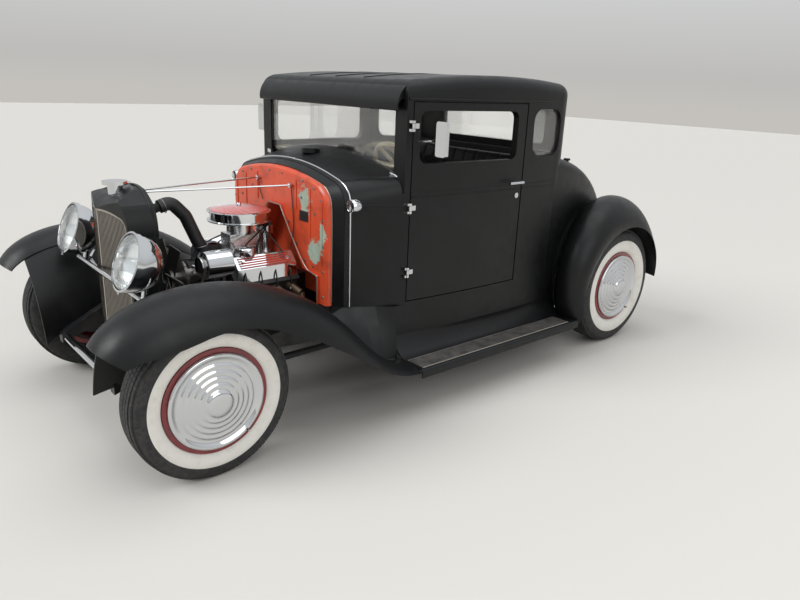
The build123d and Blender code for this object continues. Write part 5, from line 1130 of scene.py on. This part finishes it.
class COUPE_OT_firewall(Operator):
    """Bolts, bare plate, seam strip and wires of the orange firewall"""

    bl_idname = "coupe.firewall"
    bl_label = "Firewall trim"

    def execute(self, context):
        sizes = context.scene.coupe_sizes
        bolts = []
        for side, sign in SIDES:
            for x, z in FIREWALL_BOLTS:
                bolts.append(at(sign * x, FIREWALL_STATION, z))
        way = [Vector((0, -1, 0))] * len(bolts)
        show(studs("firewall_bolts", bolts, way, sizes.bolt, 0.0045, "steel"), "root")
        strip = [[at(x, 735.5, z) for x, z in PAN_RIM]]
        show(tubes("seam_strip", strip, 0.0024, "stainless"), "root")
        lips = [[at(sign * x, 696, z) for x, z in RECESS_SIDE] for side, sign in SIDES]
        lips.append([at(x, 696, 901) for x in (-54, 0, 54)])
        show(tubes("recess_lip", lips, 0.0030, "stainless"), "root")
        plate = [at(252, FIREWALL_STATION - 1.5, 876)]
        show(blocks("blank_plate", plate, "lead", [(0.074, 0.003, 0.048)]), "root")
        wires = [
            [at(152, 700, 1007), at(158, 702, 940), at(166, 703, 860), at(172, 702, 800),
             at(160, 690, 700)],
            [at(-152, 700, 1007), at(-150, 702, 960), at(-140, 703, 930), at(-120, 702, 902)],
        ]
        show(tubes("firewall_wires", wires, 0.0024, "lead"), "root")
        return {"FINISHED"}


class COUPE_OT_mats(Operator):
    """Ribbed rubber mats on the running boards, with a bright strip along each edge"""

    bl_idname = "coupe.mats"
    bl_label = "Running board mats"

    def execute(self, context):
        sizes = context.scene.coupe_sizes
        middle = (MAT_FROM + MAT_TO) / 2
        long = (MAT_TO - MAT_FROM) / 1000
        count = sizes.mat_ribs
        pitch = 98 / count
        scales = [(0.100, long, 0.0020)] + [(0.55 * pitch / 1000, long - 0.008, 0.0026)] * count
        for side, sign in SIDES:
            spots = [at(sign * MAT_MIDDLE, middle, 235.0)]
            for step in range(count):
                spots.append(at(sign * (MAT_MIDDLE + pitch * (step - (count - 1) / 2)), middle, 237.0))
            show(blocks(f"mat_{side}", spots, "mat", scales), "root")
            edge = [[at(sign * (MAT_MIDDLE + out), y, 234.6) for y in (MAT_FROM, middle, MAT_TO)]
                    for out in (-51, 51)]
            show(tubes(f"mat_edges_{side}", edge, 0.0030, "stainless"), "root")
        return {"FINISHED"}


class COUPE_OT_mouldings(Operator):
    """Beads and rails of the body, the windshield's rubber, fender fillers, band edge and brackets"""

    bl_idname = "coupe.mouldings"
    bl_label = "Mouldings"

    def execute(self, context):
        # the roof's beads keep inside the height of the CAD
        crest = 1534.4
        roof = [[at(x, y, min(bow(ROOF_LINE, y) + 0.8, crest)) for y in range(1060, 2141, 90)]
                for x in (-230, 0, 230)]
        show(tubes("roof_beads", roof, 0.0035, "satin"), "root")
        rails = []
        for side, sign in SIDES:
            rails.append([at(sign * (bow(SIDE_LINE, y) + 1.5), y, 1424) for y in range(1010, 2060, 75)])
        show(tubes("drip_rails", rails, 0.0050, "satin"), "root")
        for side, sign in SIDES:
            belts = [[at(sign * (bow(SIDE_LINE, y) + 0.2), y, z) for y in range(1044, 1776, 73)]
                     for z in BELT_HEIGHTS]
            show(tubes(f"door_belt_{side}", belts, 0.0030, "satin"), f"{side}_door")
        belts = []
        for side, sign in SIDES:
            for z in BELT_HEIGHTS:
                belts.append([at(sign * (bow(SIDE_LINE, y) + 0.2), y, z) for y in range(1789, 2060, 45)])
                height = 936 + (z - BELT_HEIGHTS[0])
                belts.append([at(sign * (cowl_half(y) + 0.3), y, height) for y in (800, 910, 1030)])
        show(tubes("body_belts", belts, 0.0030, "satin"), "root")
        corners = [(-x, z) for x, z in reversed(WINDSHIELD_SIDE)] + [(0, 1385)] + WINDSHIELD_SIDE
        rubber = [[at(x, 1013.5, z) for x, z in corners]]
        show(tubes("windshield_rubber", rubber, 0.0045, "hose"), "root")
        # small blocks in the gap between the body's foot and each rear fender
        fillers = [at(sign * 622, 2194, 352) for side, sign in SIDES]
        filler = blocks("fender_fillers", fillers, "satin", [(0.030, 0.030, 0.236)] * 2)
        show(filler, "root")
        band = [rim("cowl_band", 792.5)]
        show(tubes("band_edge", band, 0.0042, "chrome"), "root")
        feet = [at(sign * 548, 1000, 1090) for side, sign in SIDES]
        turns = [(0.0, 0.0, sign * radians(8)) for side, sign in SIDES]
        brackets = blocks("post_brackets", feet, "chrome", [(0.046, 0.012, 0.020)] * 2, turns)
        show(brackets, "root")
        return {"FINISHED"}


class COUPE_OT_doors(Operator):
    """Trimmed cards inside the doors, and the glass of the mirrors"""

    bl_idname = "coupe.doors"
    bl_label = "Door trim"

    def execute(self, context):
        for side, sign in SIDES:
            shape = bmesh.new()
            rows = []
            for z in (525, 620, 760, 762, 768, 770, 900, 1050, 1052, 1058, 1060, 1120):
                seam = 2.2 if z in (762, 768, 1052, 1058) else 0.0
                rows.append([shape.verts.new(at(sign * (bow(SIDE_LINE, y) - 40.0 + seam), y, z))
                             for y in range(1062, 1763, 50)])
            skin_rows(shape, rows, -0.003)
            show(from_bmesh(f"door_card_{side}", shape, "vinyl"), f"{side}_door")
            place = [at(sign * 765, 1090.4, 1262)]
            glass = blocks(f"mirror_glass_{side}", place, "mirror", [(0.052, 0.0012, 0.138)])
            show(glass, f"{side}_door")
        return {"FINISHED"}


class COUPE_OT_lamps(Operator):
    """Glass of the cowl lamps and bright rims of the tail lamps"""

    bl_idname = "coupe.lamps"
    bl_label = "Small lamps"

    def execute(self, context):
        glass, rims = bmesh.new(), bmesh.new()
        for side, sign in SIDES:
            turn_profile(glass, COWL_LAMP_STEPS, at(sign * 535, 764, 961), (0, 1, 0), 40)
            turn_profile(rims, TAIL_RIM_STEPS, Vector((sign * 0.560, 1.731, 0.560)), (0, 1, 0), 48)
        show(from_bmesh("cowl_lamp_glass", glass, "lens"), "root")
        show(from_bmesh("tail_lamp_rims", rims, "chrome"), "root")
        return {"FINISHED"}


class COUPE_OT_seat(Operator):
    """Bench seat in black vinyl with sewn channels: a padded cushion and back on a plain riser"""

    bl_idname = "coupe.seat"
    bl_label = "Seat"

    def execute(self, context):
        sizes = context.scene.coupe_sizes
        riser = blocks("seat_riser", [at(0, 1776, 500)], "vinyl", [(1.080, 0.400, 0.134)])
        show(riser, "root")
        # half width of the bench in millimetres; each block runs from its low to its high corner
        half = 556
        low, high = at(-half, 1556, 562), at(half, 1975, 738)
        base = cushion("seat_cushion", low, high, Vector((0, 0, 1)), sizes.channel)
        show(base, "root", ["seat"])
        low, high = at(-half, 1962, 690), at(half, 2078, 1170)
        rest = cushion("seat_back", low, high, Vector((0, -1, 0)), sizes.channel)
        show(rest, "root")
        return {"FINISHED"}


class COUPE_OT_cabin(Operator):
    """Pale headliner under the roof and the gauges' blank faces"""

    bl_idname = "coupe.cabin"
    bl_label = "Cabin"

    def execute(self, context):
        shape = bmesh.new()
        rows = []
        for y in range(1045, 2141, 73):
            edge = bow(SIDE_LINE, min(y, 2050)) - 44
            rows.append([shape.verts.new(at(edge * share, y, bow(ROOF_LINE, y) - 33 - 26 * abs(share) ** 6))
                         for share in (-1, -0.97, -0.9, -0.6, -0.3, 0, 0.3, 0.6, 0.9, 0.97, 1)])
        skin_rows(shape, rows, 0.002)
        show(from_bmesh("headliner", shape, "headliner"), "root")
        bowls = bmesh.new()
        for x in (270, 330, 390):
            turn_profile(bowls, GAUGE_STEPS, at(x, 1129.5, 1050), (0, 1, 0.05), 32)
        show(from_bmesh("gauge_faces", bowls, "chrome"), "root")
        return {"FINISHED"}


PIECES = (COUPE_OT_stage, COUPE_OT_finishes, COUPE_OT_tyres, COUPE_OT_tread, COUPE_OT_hubcaps,
          COUPE_OT_valves, COUPE_OT_headlamps, COUPE_OT_nose, COUPE_OT_air_cleaner, COUPE_OT_covers,
          COUPE_OT_ignition, COUPE_OT_firewall, COUPE_OT_mats, COUPE_OT_mouldings, COUPE_OT_doors,
          COUPE_OT_lamps, COUPE_OT_seat, COUPE_OT_cabin)


class CoupeSizes(PropertyGroup):
    """Colours, sizes and light levels that a user would change"""

    body_black: FloatVectorProperty(name="Body black", description="Colour of the body's satin paint",
                                    size=4, default=linear("0a0b0c"), min=0.0, max=1.0, subtype="COLOR")
    firewall_orange: FloatVectorProperty(name="Firewall orange", description="Colour of the firewall's paint",
                                         size=4, default=linear("cf4526"), min=0.0, max=1.0,
                                         subtype="COLOR")
    rim_red: FloatVectorProperty(name="Rim red", description="Colour of the wheels' rims", size=4,
                                 default=linear("7d111a"), min=0.0, max=1.0, subtype="COLOR")
    white_wall: FloatVectorProperty(name="White wall", description="Colour of the tyres' white walls",
                                    size=4, default=linear("e6e3dc"), min=0.0, max=1.0, subtype="COLOR")
    white_front: FloatProperty(name="Front white wall", description="Outer radius of the front white walls",
                               default=0.269, min=0.22, max=0.30, unit="LENGTH")
    white_rear: FloatProperty(name="Rear white wall", description="Outer radius of the rear white walls",
                              default=0.285, min=0.22, max=0.32, unit="LENGTH")
    tread_blocks: IntProperty(name="Tread blocks", description="Blocks in each ring of a tyre's tread",
                              default=104, min=20, max=160)
    flute: FloatProperty(name="Lens flute", description="Width of a flute on the headlamp lenses",
                         default=0.0095, min=0.004, max=0.03, unit="LENGTH")
    lid_fins: IntProperty(name="Lid fins", description="Fins on each side of the air cleaner's middle",
                          default=8, min=2, max=16)
    bolt: FloatProperty(name="Bolt head", description="Radius of the firewall's bolt heads",
                        default=0.0065, min=0.003, max=0.02, unit="LENGTH")
    mat_ribs: IntProperty(name="Mat ribs", description="Ribs along each running board mat", default=11, min=4,
                          max=24)
    channel: FloatProperty(name="Seat channel", description="Width of a sewn channel in the seat",
                           default=0.085, min=0.04, max=0.2, unit="LENGTH")
    world_strength: FloatProperty(name="World", description="Strength of the world's light",
                                  default=0.55, min=0.0)
    key_power: FloatProperty(name="Key lamp", description="Strength of the key sun", default=1.7, min=0.0)
    side_power: FloatProperty(name="Side lamp", description="Power of the lamp on the car's left",
                              default=95.0, min=0.0, unit="POWER")
    top_power: FloatProperty(name="Top lamp", description="Strength of the sun overhead", default=0.9,
                             min=0.0)


class COUPE_PT_panel(Panel):
    """Lists the coupe's operators in the sidebar"""

    bl_idname = "COUPE_PT_panel"
    bl_label = "Hot Rod Coupe"
    bl_space_type = "VIEW_3D"
    bl_region_type = "UI"
    bl_category = "Coupe"

    def draw(self, context):
        column = self.layout.column()
        for name in CoupeSizes.__annotations__:
            column.prop(context.scene.coupe_sizes, name)
        for piece in PIECES:
            column.operator(piece.bl_idname)


CLASSES = (CoupeSizes, *PIECES, COUPE_PT_panel)


def register():
    """Registers the classes and hangs the sizes on the scene."""
    for kind in CLASSES:
        bpy.utils.register_class(kind)
    bpy.types.Scene.coupe_sizes = PointerProperty(type=CoupeSizes)


def unregister():
    """Takes the sizes and the classes away again."""
    del bpy.types.Scene.coupe_sizes
    for kind in reversed(CLASSES):
        bpy.utils.unregister_class(kind)


def main():
    """Builds everything in order."""
    register()
    for piece in PIECES:
        group, name = piece.bl_idname.split(".")
        getattr(getattr(bpy.ops, group), name)()


if __name__ == "__main__":
    main()
